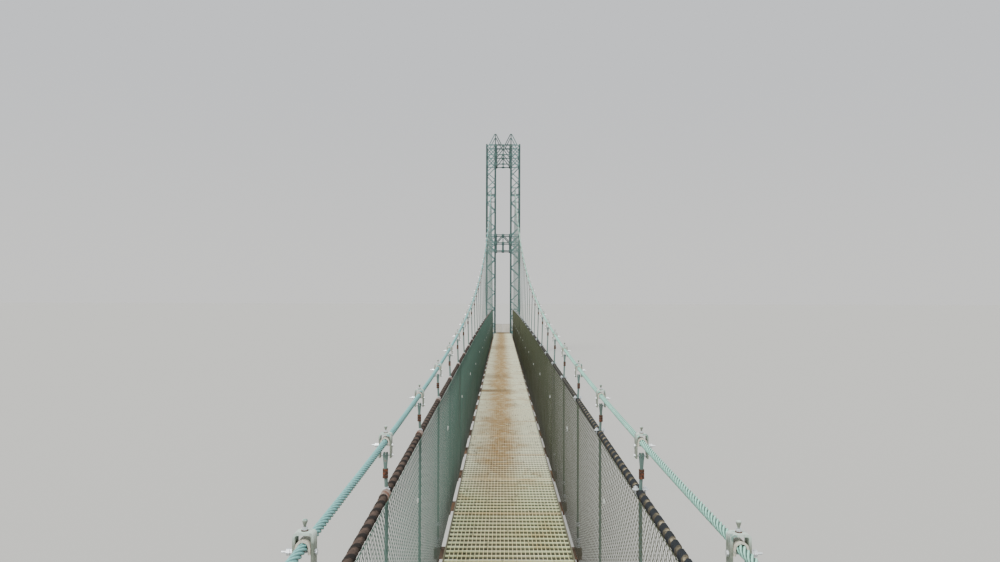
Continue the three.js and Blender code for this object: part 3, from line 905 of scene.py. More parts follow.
def deck_steel(name, sizes, colours):
    """Worn grating: pale, green near mid-span, a brown track, brown joints, dark bands and painted shade.
    """
    material, tree, shader, where, _ = new_material(name)
    x, y, z = axes(tree, where)
    across = maths(tree, "ABSOLUTE", x)
    from_middle = maths(tree, "ABSOLUTE", y)
    patches = placed(tree, weather_patches(), Vector=where, Size=0.05, Share=0.4)
    fine = placed(tree, rust_bloom(), Vector=where, Size=0.004, Share=0.35)
    grain = placed(tree, surface_grain(), Vector=where, Size=0.0012)
    pale, brown = colours.grating, colours.grating_dirt
    colour = mixed(tree, patches["Tone"], toned(pale, 0.86), pale)
    # The track has a ragged edge, and fades where the film starts
    ragged = times(tree, maths(tree, "SUBTRACT", patches["Tone"], 0.5), 60 * MM)
    off_track = maths(tree, "ABSOLUTE", maths(tree, "ADD", x, TRACK_LEFT))
    walked = between(tree, maths(tree, "ADD", off_track, ragged), 4 * MM, 36 * MM, 1.0, 0.0)
    smudges = noise(tree, where, 110.0, 4.0, 0.7)
    trodden = times(tree, walked, between(tree, smudges, 0.3, 0.6, 0.55, 1.0))
    trodden = times(tree, trodden, between(tree, from_middle, *FILM_FADE, 0.3, 1.0))
    film = times(tree, between(tree, from_middle, *FILM_FADE, 1.0, 0.0), patches["Tone"])
    colour = mixed(tree, film, colour, colours.grating_film)
    colour = mixed(tree, trodden, colour, brown)
    colour = mixed(tree, times(tree, patches["Mask"], 0.45), colour, brown)
    # The lengthwise bars lie a little lower than the cross-bars, and keep more dirt
    half_pitch, half_bar = sizes.bar_pitch / 2, sizes.bar / 2
    from_bar = maths(tree, "ABSOLUTE", maths(tree, "WRAP", x, half_pitch, -half_pitch))
    sunken = between(tree, z, DECK_TOP - 0.3 * MM, DECK_TOP - 0.2 * MM, 0.5, 0.0)
    on_bar = between(tree, from_bar, half_bar + 0.01 * MM, half_bar + 0.05 * MM, 1.0, 0.0)
    colour = mixed(tree, times(tree, sunken, on_bar), colour, toned(brown, 0.7))
    panel = maths(tree, "WRAP", y, PANEL_START + PANEL_LONG / 2, PANEL_START - PANEL_LONG / 2)
    joint = between(tree, apart(tree, panel, PANEL_START), 1 * MM, 4 * MM, 0.5, 0.0)
    colour = mixed(tree, joint, colour, brown)
    # Dark bands across the deck, stronger to the left
    for band_y, half_long, strength in DECK_DARK_BANDS:
        stain = between(tree, apart(tree, from_middle, band_y), half_long * 0.3, half_long, strength, 0.0)
        stain = times(tree, stain, between(tree, patches["Tone"], 0.3, 0.6, 0.3, 0.8))
        stain = times(tree, stain, between(tree, x, 0.0, 25 * MM, 1.0, 0.15))
        colour = mixed(tree, stain, colour, toned(brown, 0.5))
    edge = between(tree, across, DECK_HALF - 1.4 * MM, DECK_HALF - 1.2 * MM, 0.0, 0.85)
    colour = mixed(tree, edge, colour, colours.grime_and_shade)
    spots = times(tree, fine["Mask"], 0.4)
    colour = mixed(tree, spots, colour, rust_colour(tree, fine["Depth"], colours))
    specks = between(tree, noise(tree, where, 260.0, 2.0, 0.6), 0.62, 0.68, 0.0, 0.5)
    colour = mixed(tree, specks, colour, colours.grime_and_shade)
    # Painted shade over both landings
    landing = between(tree, from_middle, DECK_END - 60 * MM, DECK_END + 20 * MM, 0.0, 0.75)
    colour = mixed(tree, landing, colour, toned(brown, 0.35))
    # Feet polish the top millimetre of the bars; below it dirt and painted shade darken them
    shaded = between(tree, z, DECK_TOP - 1.3 * MM, DECK_TOP - 0.9 * MM, 0.85, 0.0)
    colour = mixed(tree, shaded, colour, toned(colours.grime_and_shade, 0.35))
    link_finish(tree, shader, colour, patches["Tone"], 0.5, 0.75)
    raised(tree, shader, grain["Height"], 0.08 * MM)
    return material


def cast_concrete(name, colours):
    """Weathered concrete: board marks, rain streaks, stains, pits and a mossy foot."""
    material, tree, shader, where, _ = new_material(name, roughness=0.9)
    height = axes(tree, where)["Z"]
    board = 15 * MM
    in_board = maths(tree, "FRACT", maths(tree, "DIVIDE", height, board))
    seam = between(tree, apart(tree, in_board, 0.5), 0.46, 0.5)
    stains = placed(tree, weather_patches(), Vector=where, Size=0.05, Share=0.5)
    streaks = placed(tree, rain_streaks(), Vector=where, Width=0.008)
    grain = placed(tree, surface_grain(), Vector=where, Size=0.004)
    pits = node(tree, "ShaderNodeTexVoronoi", {"Vector": where, "Scale": 420.0})
    pit = between(tree, pits.outputs["Distance"], 0.08, 0.16, 1.0, 0.0)
    base = colours.concrete
    colour = mixed(tree, stains["Tone"], toned(base, 0.72), toned(base, 1.25))
    colour = mixed(tree, times(tree, streaks["Mask"], 0.5), colour, toned(base, 0.5))
    colour = mixed(tree, between(tree, height, 0.0, 30 * MM, 0.5, 0.0), colour, colours.grime_and_shade)
    dark = maths(tree, "MAXIMUM", times(tree, seam, 0.35), times(tree, pit, 0.45))
    link_finish(tree, shader, mixed(tree, dark, colour, toned(base, 0.4)))
    uneven = maths(tree, "SUBTRACT", grain["Height"], maths(tree, "ADD", seam, pit))
    raised(tree, shader, uneven, 0.4 * MM)
    return material


def plain_floor(name, colour):
    material, tree, shader, where, _ = new_material(name, roughness=0.9)
    tone = noise(tree, where, 1.5, 2.0, 0.5)
    link_finish(tree, shader, mixed(tree, tone, toned(colour, 0.985), colour))
    return material


def dress(name, material):
    """Gives a node of the frame a finish."""
    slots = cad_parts[name].data.materials
    slots.clear()
    slots.append(material)


# What a user would change


def length(name, description, default):
    return FloatProperty(
        name=name, description=description, default=default, min=0, unit="LENGTH", precision=5
    )


def tint(name, description, default):
    return FloatVectorProperty(
        name=name, description=description, default=default, size=3, min=0, max=1, subtype="COLOR"
    )


class BridgeSizes(PropertyGroup):
    """Sizes of what the frame leaves to the dressing"""

    strands: IntProperty(name="Strands", description="Strands in a main cable", default=6, min=3)
    cable_lay: length("Cable lay", "Length in which a strand goes once round the cable", 18.3 * MM)
    left_lashing: length("Left lashing", "Pitch of the cord round the left handrail", 10.8 * MM)
    right_lashing: length("Right lashing", "Pitch of the cord round the right handrail", 9.6 * MM)
    rod: length("Rod", "Radius of a hanger rod", 0.8 * MM)
    mesh: length("Mesh", "Width and height of a diamond of the fence mesh", 5 * MM)
    wire: length("Wire", "Radius of a fence wire", 0.125 * MM)
    bar_pitch: length("Bar pitch", "Pitch of the lengthwise bars of the grating", 3 * MM)
    cross_pitch: length("Cross-bar pitch", "Pitch of the cross-bars of the grating", 10 * MM)
    bar: length("Bar", "Thickness of a lengthwise bar of the grating", 0.5 * MM)
    bolt: length("Bolt", "Radius of a bolt head on the towers", 0.95 * MM)


class BridgeColours(PropertyGroup):
    """Paints, coatings and stains"""

    left_cable: tint("Left cable", "Paint of the left main cable", srgb(108, 166, 163))
    right_cable: tint("Right cable", "Paint of the right main cable", srgb(140, 196, 178))
    clamp: tint("Clamps", "Worn top coat of the cable clamps", srgb(196, 212, 202))
    liner: tint("Cable liners", "Ring between clamp and cable", srgb(206, 200, 186))
    clamp_under: tint("Clamp undercoat", "Coat that shows through on clamps", srgb(112, 152, 144))
    hanger: tint("Hangers", "Paint of the hanger rods", srgb(92, 118, 112))
    tower: tint("Towers", "Paint of the towers", srgb(50, 80, 78))
    left_cord: tint("Left cord", "Narrow cord round the left handrail", srgb(26, 20, 18))
    left_rope: tint("Left rope", "Rope of the left handrail", srgb(98, 80, 70))
    right_cord: tint("Right cord", "Wide cord round the right handrail", srgb(24, 32, 40))
    right_rope: tint("Right rope", "Rope of the right handrail", srgb(176, 164, 136))
    left_fence: tint("Left fence", "Coating of the left fence wire", srgb(68, 98, 86))
    right_fence: tint("Right fence", "Coating of the right fence wire", srgb(66, 72, 50))
    grating: tint("Grating", "Worn steel of the deck", srgb(244, 248, 218))
    grating_film: tint("Grating film", "Green film on the deck near mid-span", srgb(172, 188, 112))
    # Also the painted shade over the landings, darkened
    grating_dirt: tint("Grating dirt", "Trodden dirt on the deck", srgb(180, 148, 98))
    zinc: tint("Zinc", "Bright coating of bolts and sleeves", srgb(226, 232, 236))
    rust_light: tint("Light rust", "Fresh rust", srgb(142, 84, 58))
    rust_dark: tint("Dark rust", "Old rust", srgb(88, 58, 44))
    frame_light: tint("Frame, light", "Lighter rust of the deck frame", srgb(126, 98, 76))
    frame_dark: tint("Frame, dark", "Darker rust of the deck frame", srgb(92, 76, 64))
    concrete: tint("Concrete", "Abutments and anchor blocks", srgb(156, 153, 143))
    # Also the painted shade low on the grating bars, darkened
    grime_and_shade: tint("Grime", "Dirt that settles everywhere", srgb(70, 66, 54))


class BridgeStage(PropertyGroup):
    """Floor, light and camera"""

    floor: tint("Floor", "Colour of the floor", srgb(176, 176, 172))
    floor_size: length("Floor size", "Width of the floor", 120.0)
    daylight: FloatProperty(name="Daylight", description="Strength of the light all round", default=0.9)
    sun: FloatProperty(name="Key light", description="Strength of the soft light from above", default=4.3)


class BridgeOperator:
    """What the operators of this file share"""

    bl_options = {"REGISTER", "UNDO"}

    @property
    def sizes(self):
        return bpy.context.scene.bridge_sizes

    @property
    def colours(self):
        return bpy.context.scene.bridge_colours


# Operators


class BRIDGE_OT_main_cables(BridgeOperator, Operator):
    """Lay both main cables, strand by strand, from anchor block to anchor block"""

    bl_idname = "bridge.main_cables"
    bl_label = "Main Cables"

    # Steps to each turn of the rope, and how far a strand's surface lies from the rope's centre,
    # from one groove to the next, in cable radii
    FINE = (10, (0.68, 0.88, 1.0, 1.0, 0.88))
    PLAIN = (8, (0.72, 1.0))
    # How far paint fills the grooves on top, weakening their painted shade, and how much rust bleeds
    # through
    FILLED = {"left": 0.55, "right": 0.0}
    STAINS = {"left": 0.3, "right": 0.45}

    def execute(self, context):
        for side_name, side in SIDES.items():
            lay = self.sizes.cable_lay
            fine, plain = [
                (lay / steps, [CABLE_RADIUS * share for share in lobe] * self.sizes.strands)
                for steps, lobe in (self.FINE, self.PLAIN)
            ]
            bm = laid_rope(Route(cable_line(side)), FINE_CABLE_HALF, fine, plain, lay)
            paint = getattr(self.colours, f"{side_name}_cable")
            filled, stain = self.FILLED[side_name], self.STAINS[side_name]
            name = f"{side_name} cable paint"
            finish = painted_rope(name, paint, self.sizes, filled, stain, self.colours)
            name = f"{side_name}_main_cable"
            finished(f"{name}_rope", bm, finish, [name], crease=100)
        return {"FINISHED"}


class BRIDGE_OT_handrails(BridgeOperator, Operator):
    """Lay both handrails, each a rope wrapped with bands of cord"""

    bl_idname = "bridge.handrails"
    bl_label = "Handrails"

    # Distance from the rope's centre in thirteen even steps round it: cord first, then bare rope
    OUTLINES = {
        "left": [1.95] * 5 + [1.68, 1.78, 1.84, 1.86, 1.84, 1.78, 1.68, 1.6],
        "right": [1.95] * 9 + [1.62, 1.64, 1.64, 1.6],
    }
    CORD_SHARES = {"left": 4.7 / 13, "right": 8.5 / 13}
    # Steps to each turn of the cord
    FINE_STEPS = 8
    # Away from mid-span the lashing is only painted, on a rope with this outline
    PLAIN_RADIUS = 1.78 * MM
    PLAIN_SIDES = 10
    # How bright the rope is away from its bleached top
    UNDER = {"left": 0.6, "right": 0.12}
    # How far painted shade reaches beside a band of cord, in pitches
    SHADE = {"left": 0.07, "right": 0.16}

    def execute(self, context):
        for side_name, side in SIDES.items():
            pitch = getattr(self.sizes, f"{side_name}_lashing")
            fine = (pitch / self.FINE_STEPS, [radius * MM for radius in self.OUTLINES[side_name]])
            plain = (BAY / 2, [self.PLAIN_RADIUS] * self.PLAIN_SIDES)
            bm = laid_rope(Route(rail_line(side)), FINE_RAIL_HALF, fine, plain, pitch, twisted=False)
            cord = getattr(self.colours, f"{side_name}_cord")
            rope = getattr(self.colours, f"{side_name}_rope")
            share = self.CORD_SHARES[side_name]
            under, shade = self.UNDER[side_name], self.SHADE[side_name]
            name = f"{side_name} handrail cord"
            finish = lashed_rope(name, cord, rope, under, shade, share, pitch, self.colours)
            replaced = [f"{side_name}_handrail_and_hangers"]
            finished(f"{side_name}_handrail_rope", bm, finish, replaced, crease=180)
        return {"FINISHED"}


class BRIDGE_OT_hangers(BridgeOperator, Operator):
    """Fit every hanger: clamp over the cable, nuts, rod, handrail grip and foot"""

    bl_idname = "bridge.hangers"
    bl_label = "Hangers"

    # Faded rod paint, the painted shade low on the clamps, and the paint and rust of the rail sleeves
    FADED = srgb(142, 158, 150)
    LEG_SHADE = srgb(116, 120, 106)
    SLEEVE = srgb(146, 128, 118)
    RUSTY = srgb(112, 72, 50)

    # Sizes in mm, and heights in mm from the cable's centre
    CLAMP = {"half_width": 2.75, "top": 3.8, "bottom": -7.0, "corner": 1.2, "thick": 0.7, "long": 4.0}
    LINER = {"half_width": 2.0, "top": 2.0, "bottom": -1.7, "corner": 1.95, "thick": 0.6, "long": 4.6}
    BOLT_Z = -1.6
    PIN_Z = -5.9
    CLEVIS_END = -11.9
    NUT_STEP = 1.45
    NUT_HIGH = 1.2
    ROD_TOP = -11.0
    WASHER_TOP = 4.05
    # Height, radius, and inner and outer end of the bolt and pin with their heads and nuts
    BOLTS = (
        (BOLT_Z, 0.32, -3.2, 6.0),
        (BOLT_Z, 0.95, 2.76, 3.65),
        (BOLT_Z, 0.95, 3.75, 4.65),
        (BOLT_Z, 0.85, -3.35, -2.76),
        (PIN_Z, 0.45, -3.5, 3.5),
        (PIN_Z, 0.7, 2.76, 3.3),
        (PIN_Z, 0.7, -3.3, -2.76),
    )
    # Foot, top and radius of the nut and collars over a beam
    COLLARS = ((0.6, 3.0, 1.7), (4.4, 8.0, 1.9), (17.5, 20.5, 1.6))

    def stirrup(self, size):
        """The clamp or its liner over the cable, with its height in its UV map."""
        bm = bmesh.new()
        add_strap(bm, size)
        # On a clamp these heights give painted shade low down
        mark_heights(bm, size["bottom"] * MM, size["top"] * MM)
        return as_template(bm)

    def clevis(self):
        """The tapered fork under a clamp, its two prongs on the pin."""
        bm = bmesh.new()
        prong = [(0.18, -6.8), (0.18, -4.8), (0.95, -4.8), (1.12, -6.2), (0.82, -9.2)]
        shape = mirrored([*prong, (0.62, self.CLEVIS_END)])
        half = 0.85 * MM
        add_prism(bm, [(x * MM, -half, z * MM) for x, z in shape], (0, 2 * half, 0))
        return as_template(bm)

    def stud(self):
        """The painted neck and pear-shaped knob over a clamp."""
        bm = bmesh.new()
        top = self.CLAMP["top"]
        knob = [(0.36, 0.9), (0.36, 1.5), (0.44, 1.6), (0.76, 2.55), (0.7, 2.85), (0.4, 3.05)]
        add_turned(bm, [(radius, top + height) for radius, height in knob], 8)
        # These heights give the knob painted shade low down
        mark_heights(bm, (top + 1.3) * MM, (top + 3.0) * MM)
        return as_template(bm)

    def rusty_nuts(self):
        """Three lock nuts under the fork, and the washer on top of the clamp."""
        bm = bmesh.new()
        for k in range(3):
            top = (self.CLEVIS_END - k * self.NUT_STEP) * MM
            add_upright(bm, top - self.NUT_HIGH * MM, top, 1.3 * MM, 6)
        add_upright(bm, self.CLAMP["top"] * MM, self.WASHER_TOP * MM, 0.95 * MM, 8)
        return as_template(bm)

    def bright_fittings(self, side):
        """Nut on top of a clamp, and the bolt and pin through it, longer away from the deck."""
        bm = bmesh.new()
        low = self.WASHER_TOP * MM
        add_upright(bm, low, low + 0.75 * MM, 0.75 * MM, 6)
        for z, radius, inner, outer in self.BOLTS:
            ends = [(side * x * MM, 0, z * MM) for x in (inner, outer)]
            add_rod(bm, *ends, radius * MM, 6)
        return as_template(bm)

    def grip(self, side):
        """What holds a handrail: nuts over and under it on the left, a bolt round it on the right."""
        bm = bmesh.new()
        bend, wire = 2.1 * MM, 0.42 * MM
        if side < 0:
            starts = [(Vector((0, 0, 0)), Vector((0, 0, out))) for out in (-1, 1)]
            reach = 1.5
        else:
            starts = [(Vector((x, 0, 0)), Vector((0, 0, 1))) for x in (-bend, bend)]
            reach = 1.8
            add_hoop(bm, (0, 0, 0), (0, 1, 0), (1, 0, 0), bend, wire, math.pi)
        for start, out in starts:
            washer, nut, end = [start + out * (reach + more) * MM for more in (0, 0.4, 1.3)]
            add_rod(bm, washer, nut, 1.55 * MM, 10)
            add_rod(bm, nut, end, 0.98 * MM, 6)
            if side > 0:
                add_rod(bm, start, end + out * 0.4 * MM, wire, 6)
        return as_template(bm)

    def rail_sleeve(self):
        """A split sleeve over the handrail beside a grip, along -Y, open underneath, with two rims."""
        bm = bmesh.new()
        inner, outer, steps = 1.8 * MM, 2.05 * MM, 12
        start, end, rim, flare = -9 * MM, -1 * MM, 1.2 * MM, 1.06
        angles = [math.radians(-60 + 300 * k / steps) for k in range(steps + 1)]
        shape = [(outer * math.cos(angle), outer * math.sin(angle)) for angle in angles]
        shape += [(inner * math.cos(angle), inner * math.sin(angle)) for angle in reversed(angles)]
        add_prism(bm, [(x, start, z) for x, z in shape], (0, end - start, 0))
        for y in (start, end - rim):
            add_prism(bm, [(x * flare, y, z * flare) for x, z in shape], (0, rim, 0))
        return as_template(bm)

    def sleeves(self):
        """The nut on a beam, and two bright collars on the rod over it, one at the deck's level."""
        bm = bmesh.new()
        for low, high, radius in self.COLLARS:
            add_upright(bm, BEAM_TOP + low * MM, BEAM_TOP + high * MM, radius * MM, 8)
        return as_template(bm)

    def foot(self):
        """Square washers over and under the beam, and the nut and rod's end under it."""
        bm = bmesh.new()
        half, washer = 1.5 * MM, 0.6 * MM
        for low in (BEAM_TOP, BEAM_LOW - washer):
            add_box(bm, (-half, -half, low), (half, half, low + washer))
        nut_low = BEAM_LOW - 2.2 * MM
        add_upright(bm, nut_low, BEAM_LOW - washer, 1.25 * MM, 6)
        add_upright(bm, nut_low - 2 * MM, nut_low, 0.8 * MM, 8)
        return as_template(bm)

    def rods(self, side):
        """The rods of one side, from the forks down to the handrail and on to the beams."""
        bm = bmesh.new()
        for y in hanger_places():
            top = Vector((side * cable_x(y), y, cable_height(y) + self.ROD_TOP * MM))
            rail = Vector((side * RAIL_X, y, rail_height(y)))
            add_rod(bm, rail, top, self.sizes.rod, 8)
            add_rod(bm, (rail.x, y, BEAM_TOP), rail, self.sizes.rod, 8)
        return bm

    def execute(self, context):
        colours = self.colours
        bare = colours.clamp_under
        rod_paint = worn_paint("hanger paint", colours.hanger, self.FADED, colours, 0.3, 0.3, 0.006)
        # The clamps darken low down with painted shade
        clamp_paint = worn_paint("clamp paint", colours.clamp, bare, colours, 0.5, 0.2, leg_shade=self.LEG_SHADE)
        liner_paint = worn_paint("liner paint", colours.liner, bare, colours, 0.25, 0.25, 0.003)
        sleeve_paint = worn_paint("sleeve paint", self.SLEEVE, self.RUSTY, colours, 0.55, 0.5, 0.006)
        zinc = galvanised("galvanised fittings", colours)
        rust = rusted("rusty fittings", colours.rust_light, colours.rust_dark, colours)
        for side_name, side in SIDES.items():
            at_cable, at_rail, at_foot = [], [], []
            for y in hanger_places():
                at_cable.append(Matrix.Translation((side * cable_x(y), y, cable_height(y))))
                at_rail.append(Matrix.Translation((side * RAIL_X, y, rail_height(y))))
                at_foot.append(Matrix.Translation((side * RAIL_X, y, 0)))
            clamps = repeated(self.stirrup(self.CLAMP), at_cable)
            liners = repeated(self.stirrup(self.LINER), at_cable)
            clamps = repeated(self.stud(), at_cable, clamps)
            rods = repeated(self.clevis(), at_cable, self.rods(side))
            rusty = repeated(self.rusty_nuts(), at_cable)
            rusty = repeated(self.foot(), at_foot, rusty)
            bright = repeated(self.bright_fittings(side), at_cable)
            bright = repeated(self.grip(side), at_rail, bright)
            bright = repeated(self.sleeves(), at_foot, bright)
            hangers = [f"{side_name}_handrail_and_hangers"]
            for name, whole, finish, replaced in (
                ("cable_clamps", clamps, clamp_paint, ()),
                ("cable_liners", liners, liner_paint, ()),
                ("hanger_rods", rods, rod_paint, hangers),
                ("hanger_rusty_nuts", rusty, rust, ()),
                ("hanger_bright_fittings", bright, zinc, ()),
            ):
                finished(f"{side_name}_{name}", made_solid(whole), finish, replaced)
        at_grip = []
        for y in hanger_places():
            slope = (rail_height(y + MM) - rail_height(y - MM)) / (2 * MM)
            lean = Matrix.Rotation(math.atan(abs(slope)), 4, "X")
            place = Matrix.Translation((-RAIL_X, y, rail_height(y)))
            at_grip.append(place @ facing(y) @ lean)
        fitted("left_handrail_sleeves", self.rail_sleeve(), at_grip, sleeve_paint)
        return {"FINISHED"}


class BRIDGE_OT_fences(BridgeOperator, Operator):
    """Hang the fence mesh from the handrails down to the beams, with its edge wires and ties"""

    bl_idname = "bridge.fences"
    bl_label = "Fences"

    STRIP = srgb(196, 202, 196)
    STRIP_WORN = srgb(140, 138, 128)
    TIE_START = 310 * MM
    TIE_STEP = 245 * MM
    TIE_HIGH = 66 * MM
    # How far a strip leans, in radians, and how far it hangs too high or too low
    TIE_LEAN = 0.25
    TIE_STRAY = 3 * MM
    EDGE_WIRE = 0.22 * MM
    EDGE_INSET = 0.05 * MM
    SHORTEST_WIRE = 0.4 * MM
    # The handrail isn't straight, so where a wire meets it is found in rounds
    ROUNDS = 12

    def slanting(self, start, end, slope):
        """Ends, as (y, z) pairs, of the wires that slant one way across a length of fence."""
        tallest = rail_height(DECK_END) - FENCE_LOW
        for foot in evenly(start - tallest, end + tallest, self.sizes.mesh):
            head = foot
            for _ in range(self.ROUNDS):
                head = foot + slope * (rail_height(head) - FENCE_LOW)
            near, far = sorted((foot, head))
            near, far = max(near, start), min(far, end)
            if far - near >= self.SHORTEST_WIRE:
                yield [(y, FENCE_LOW + slope * (y - foot)) for y in (near, far)]

    def edges(self, start, end):
        """Edge wires, as (y, z) pairs, along the bottom, beside the handrail and at both ends."""
        count = max(round((end - start) / BAY), 1)
        places = [start + (end - start) * k / count for k in range(count + 1)]
        yield [(start, FENCE_LOW), (end, FENCE_LOW)]
        yield [(y, rail_height(y)) for y in places]
        inset = self.EDGE_INSET
        for y in (start + inset, end - inset):
            yield [(y, FENCE_LOW + inset), (y, rail_height(y) - inset)]

    def tie(self):
        """A strip pinched in the middle and tied to the mesh."""
        bm = bmesh.new()
        half = Vector((0.3, 2.3, 1.3)) * MM
        add_box(bm, -half, half)
        long_edges = [edge for edge in bm.edges if abs(edge.verts[0].co.y - edge.verts[1].co.y) > MM]
        bmesh.ops.subdivide_edges(bm, edges=long_edges, cuts=3, use_grid_fill=True)
        # Distances from the middle between which the strip keeps a share of its height
        for low, high, share in ((-1, 0.2, 0.25), (0.2, 2, 0.7)):
            ring = [vert for vert in bm.verts if low * MM < abs(vert.co.y) < high * MM]
            bmesh.ops.scale(bm, vec=(1, 1, share), verts=ring)
        return as_template(bm)

    def execute(self, context):
        colours = self.colours
        wire = self.sizes.wire
        tie_finish = worn_paint("tie strips", self.STRIP, self.STRIP_WORN, colours, 0.25, 0.0)
        for side_name, side in SIDES.items():
            coat = getattr(colours, f"{side_name}_fence")
            finish = fence_coating(f"{side_name} fence coating", coat, colours)
            for number, start, end in deck_sections():
                start, end = max(start, -FRAME_END), min(end, FRAME_END)
                bm = bmesh.new()
                # The wires of one slant pass in front of those of the other
                layers = [(slope * 1.1 * wire, self.slanting(start, end, slope), wire) for slope in (-1, 1)]
                layers.append((0, self.edges(start, end), self.EDGE_WIRE))
                for off, lines, radius in layers:
                    x = side * (FENCE_X + off)
                    add_wires(bm, [[(x, *place) for place in line] for line in lines], radius)
                name = f"{side_name}_fence_{number}"
                made_solid(bm, merge=1e-6)
                finished(f"{name}_mesh", bm, finish, [name], crease=180)
            count = int((FRAME_END - self.TIE_START) / self.TIE_STEP) + 1
            places = [k * (self.TIE_START + self.TIE_STEP * n) for n in range(count) for k in (-1, 1)]
            spots = []
            for y in places:
                # No two strips lean or hang alike
                lean = Matrix.Rotation(self.TIE_LEAN * math.sin(37 * y), 4, "X")
                height = DECK_TOP + self.TIE_HIGH + self.TIE_STRAY * math.sin(91 * y)
                spots.append(Matrix.Translation((side * (FENCE_X - 0.5 * MM), y, height)) @ lean)
            fitted(f"{side_name}_fence_ties", self.tie(), spots, tie_finish)
        return {"FINISHED"}


class BRIDGE_OT_deck(BridgeOperator, Operator):
    """Lay the grating of the deck and of both landings, bar by bar"""

    bl_idname = "bridge.deck"
    bl_label = "Deck Grating"

    EDGE_BAR = 0.5 * MM
    CROSS_HALF = 0.4 * MM
    CROSS_LOW = DECK_TOP - 2.8 * MM
    BAR_TOP = DECK_TOP - 0.35 * MM
    EDGE_TOP = DECK_TOP - 0.1 * MM
    # How far cross-bars reach into the edge bars
    LAP = 0.2 * MM
    # Where the two bars at a joint of panels start
    JOINT_BARS = (-0.7 * MM, 0.2 * MM)

    def grating(self, half_width, start, end):
        """Lengthwise bars and edge bars, cross-bars, and bars at both ends and at each joint."""
        sizes = self.sizes
        bm = bmesh.new()
        half, edge, cross = sizes.bar / 2, self.EDGE_BAR, self.CROSS_HALF
        inner = half_width - edge
        reach = inner + self.LAP
        count = round(2 * inner / sizes.bar_pitch)
        for k in range(count + 1):
            x = (k - count / 2) * sizes.bar_pitch
            if abs(x) + half < inner:
                add_box(bm, (x - half, start, DECK_UNDER), (x + half, end, self.BAR_TOP))
        for x in (-half_width, inner):
            add_box(bm, (x, start, DECK_UNDER), (x + edge, end, self.EDGE_TOP))
        for y in evenly(start, end, sizes.cross_pitch):
            if start < y - cross and y + cross < end:
                add_box(bm, (-reach, y - cross, self.CROSS_LOW), (reach, y + cross, DECK_TOP))
        joints = evenly(start, end, PANEL_LONG, PANEL_START)
        bars = [joint + off for joint, off in product(joints, self.JOINT_BARS)]
        bars = [y for y in bars if start < y and y + edge < end]
        for y in (start, end - edge, *bars):
            add_box(bm, (-reach, y, DECK_UNDER), (reach, y + edge, self.EDGE_TOP))
        return made_solid(bm, merge=1e-9)

    def execute(self, context):
        finish = deck_steel("deck steel", self.sizes, self.colours)
        for number, start, end in deck_sections():
            name = f"deck_grating_{number}"
            bm = self.grating(DECK_HALF, start, end)
            finished(f"{name}_bars", bm, finish, [name])
        for end_name, end in ENDS.items():
            name = f"{end_name}_landing"
            near = DECK_END + FIT
            far = TOWER_Y + LANDING_BACK
            bm = self.grating(LANDING_HALF, *sorted((end * near, end * far)))
            finished(f"{name}_bars", bm, finish, [name])
        return {"FINISHED"}


class BRIDGE_OT_deck_frame(BridgeOperator, Operator):
    """Build the deck frame from channel cross-beams and rolled stringers"""

    bl_idname = "bridge.deck_frame"
    bl_label = "Deck Frame"

    WEB = 0.9 * MM
    FLANGE = 1.2 * MM
    # Across the bridge, where a beam has its stiffeners
    STIFFENERS = (STRINGER_X, 52 * MM)
    # Where the bolts under a stringer are, from its middle and the beam's
    CLEAT_BOLTS_X = (-1.8 * MM, 1.8 * MM)
    CLEAT_BOLTS_Y = (-1.4 * MM, 1.4 * MM)

    def stringer(self, bm, x):
        """A rolled I-section along the whole deck."""
        half, web = STRINGER_HALF, self.WEB / 2
        low, high = STRINGER_LOW + self.FLANGE, SEAT_TOP - self.FLANGE
        foot = [(half, STRINGER_LOW), (half, low), (web, low)]
        head = [(web, high), (half, high), (half, SEAT_TOP)]
        outline = [(x + across, -FRAME_END, z) for across, z in mirrored(foot + head)]
        add_prism(bm, outline, (0, 2 * FRAME_END, 0))

    def beam(self):
        """An upright channel, open towards the far end, with stiffeners and cleat bolts."""
        bm = bmesh.new()
        near, far = -BEAM_HALF_WIDE, BEAM_HALF_WIDE
        low, high, thick = BEAM_LOW, BEAM_TOP, self.WEB
        corners = [
            (near, low),
            (far, low),
            (far, low + thick),
            (near + thick, low + thick),
            (near + thick, high - thick),
            (far, high - thick),
            (far, high),
            (near, high),
        ]
        outline = [(-BEAM_HALF_LONG, y, z) for y, z in corners]
        add_prism(bm, outline, (2 * BEAM_HALF_LONG, 0, 0))
        half, set_back = 0.4 * MM, 0.3 * MM
        for side in (-1, 1):
            for across in self.STIFFENERS:
                x = side * across
                corner = (x + half, far - set_back, high - thick)
                add_box(bm, (x - half, near + thick, low + thick), corner)
            for across, y in product(self.CLEAT_BOLTS_X, self.CLEAT_BOLTS_Y):
                x = side * (STRINGER_X + across)
                add_upright(bm, low - 0.7 * MM, low, 0.8 * MM, 6, x, y)
        return as_template(bm)

    def execute(self, context):
        bm = repeated(self.beam(), [Matrix.Translation((0, y, 0)) for y in hanger_places()])
        for side in (-1, 1):
            self.stringer(bm, side * STRINGER_X)
        colours = self.colours
        light, dark = colours.frame_light, colours.frame_dark
        finish = rusted("frame steel", light, dark, colours, 0.012, 0.6)
        made_solid(bm, merge=1e-9)
        finished("deck_frame_sections", bm, finish, ["deck_frame"])
        return {"FINISHED"}


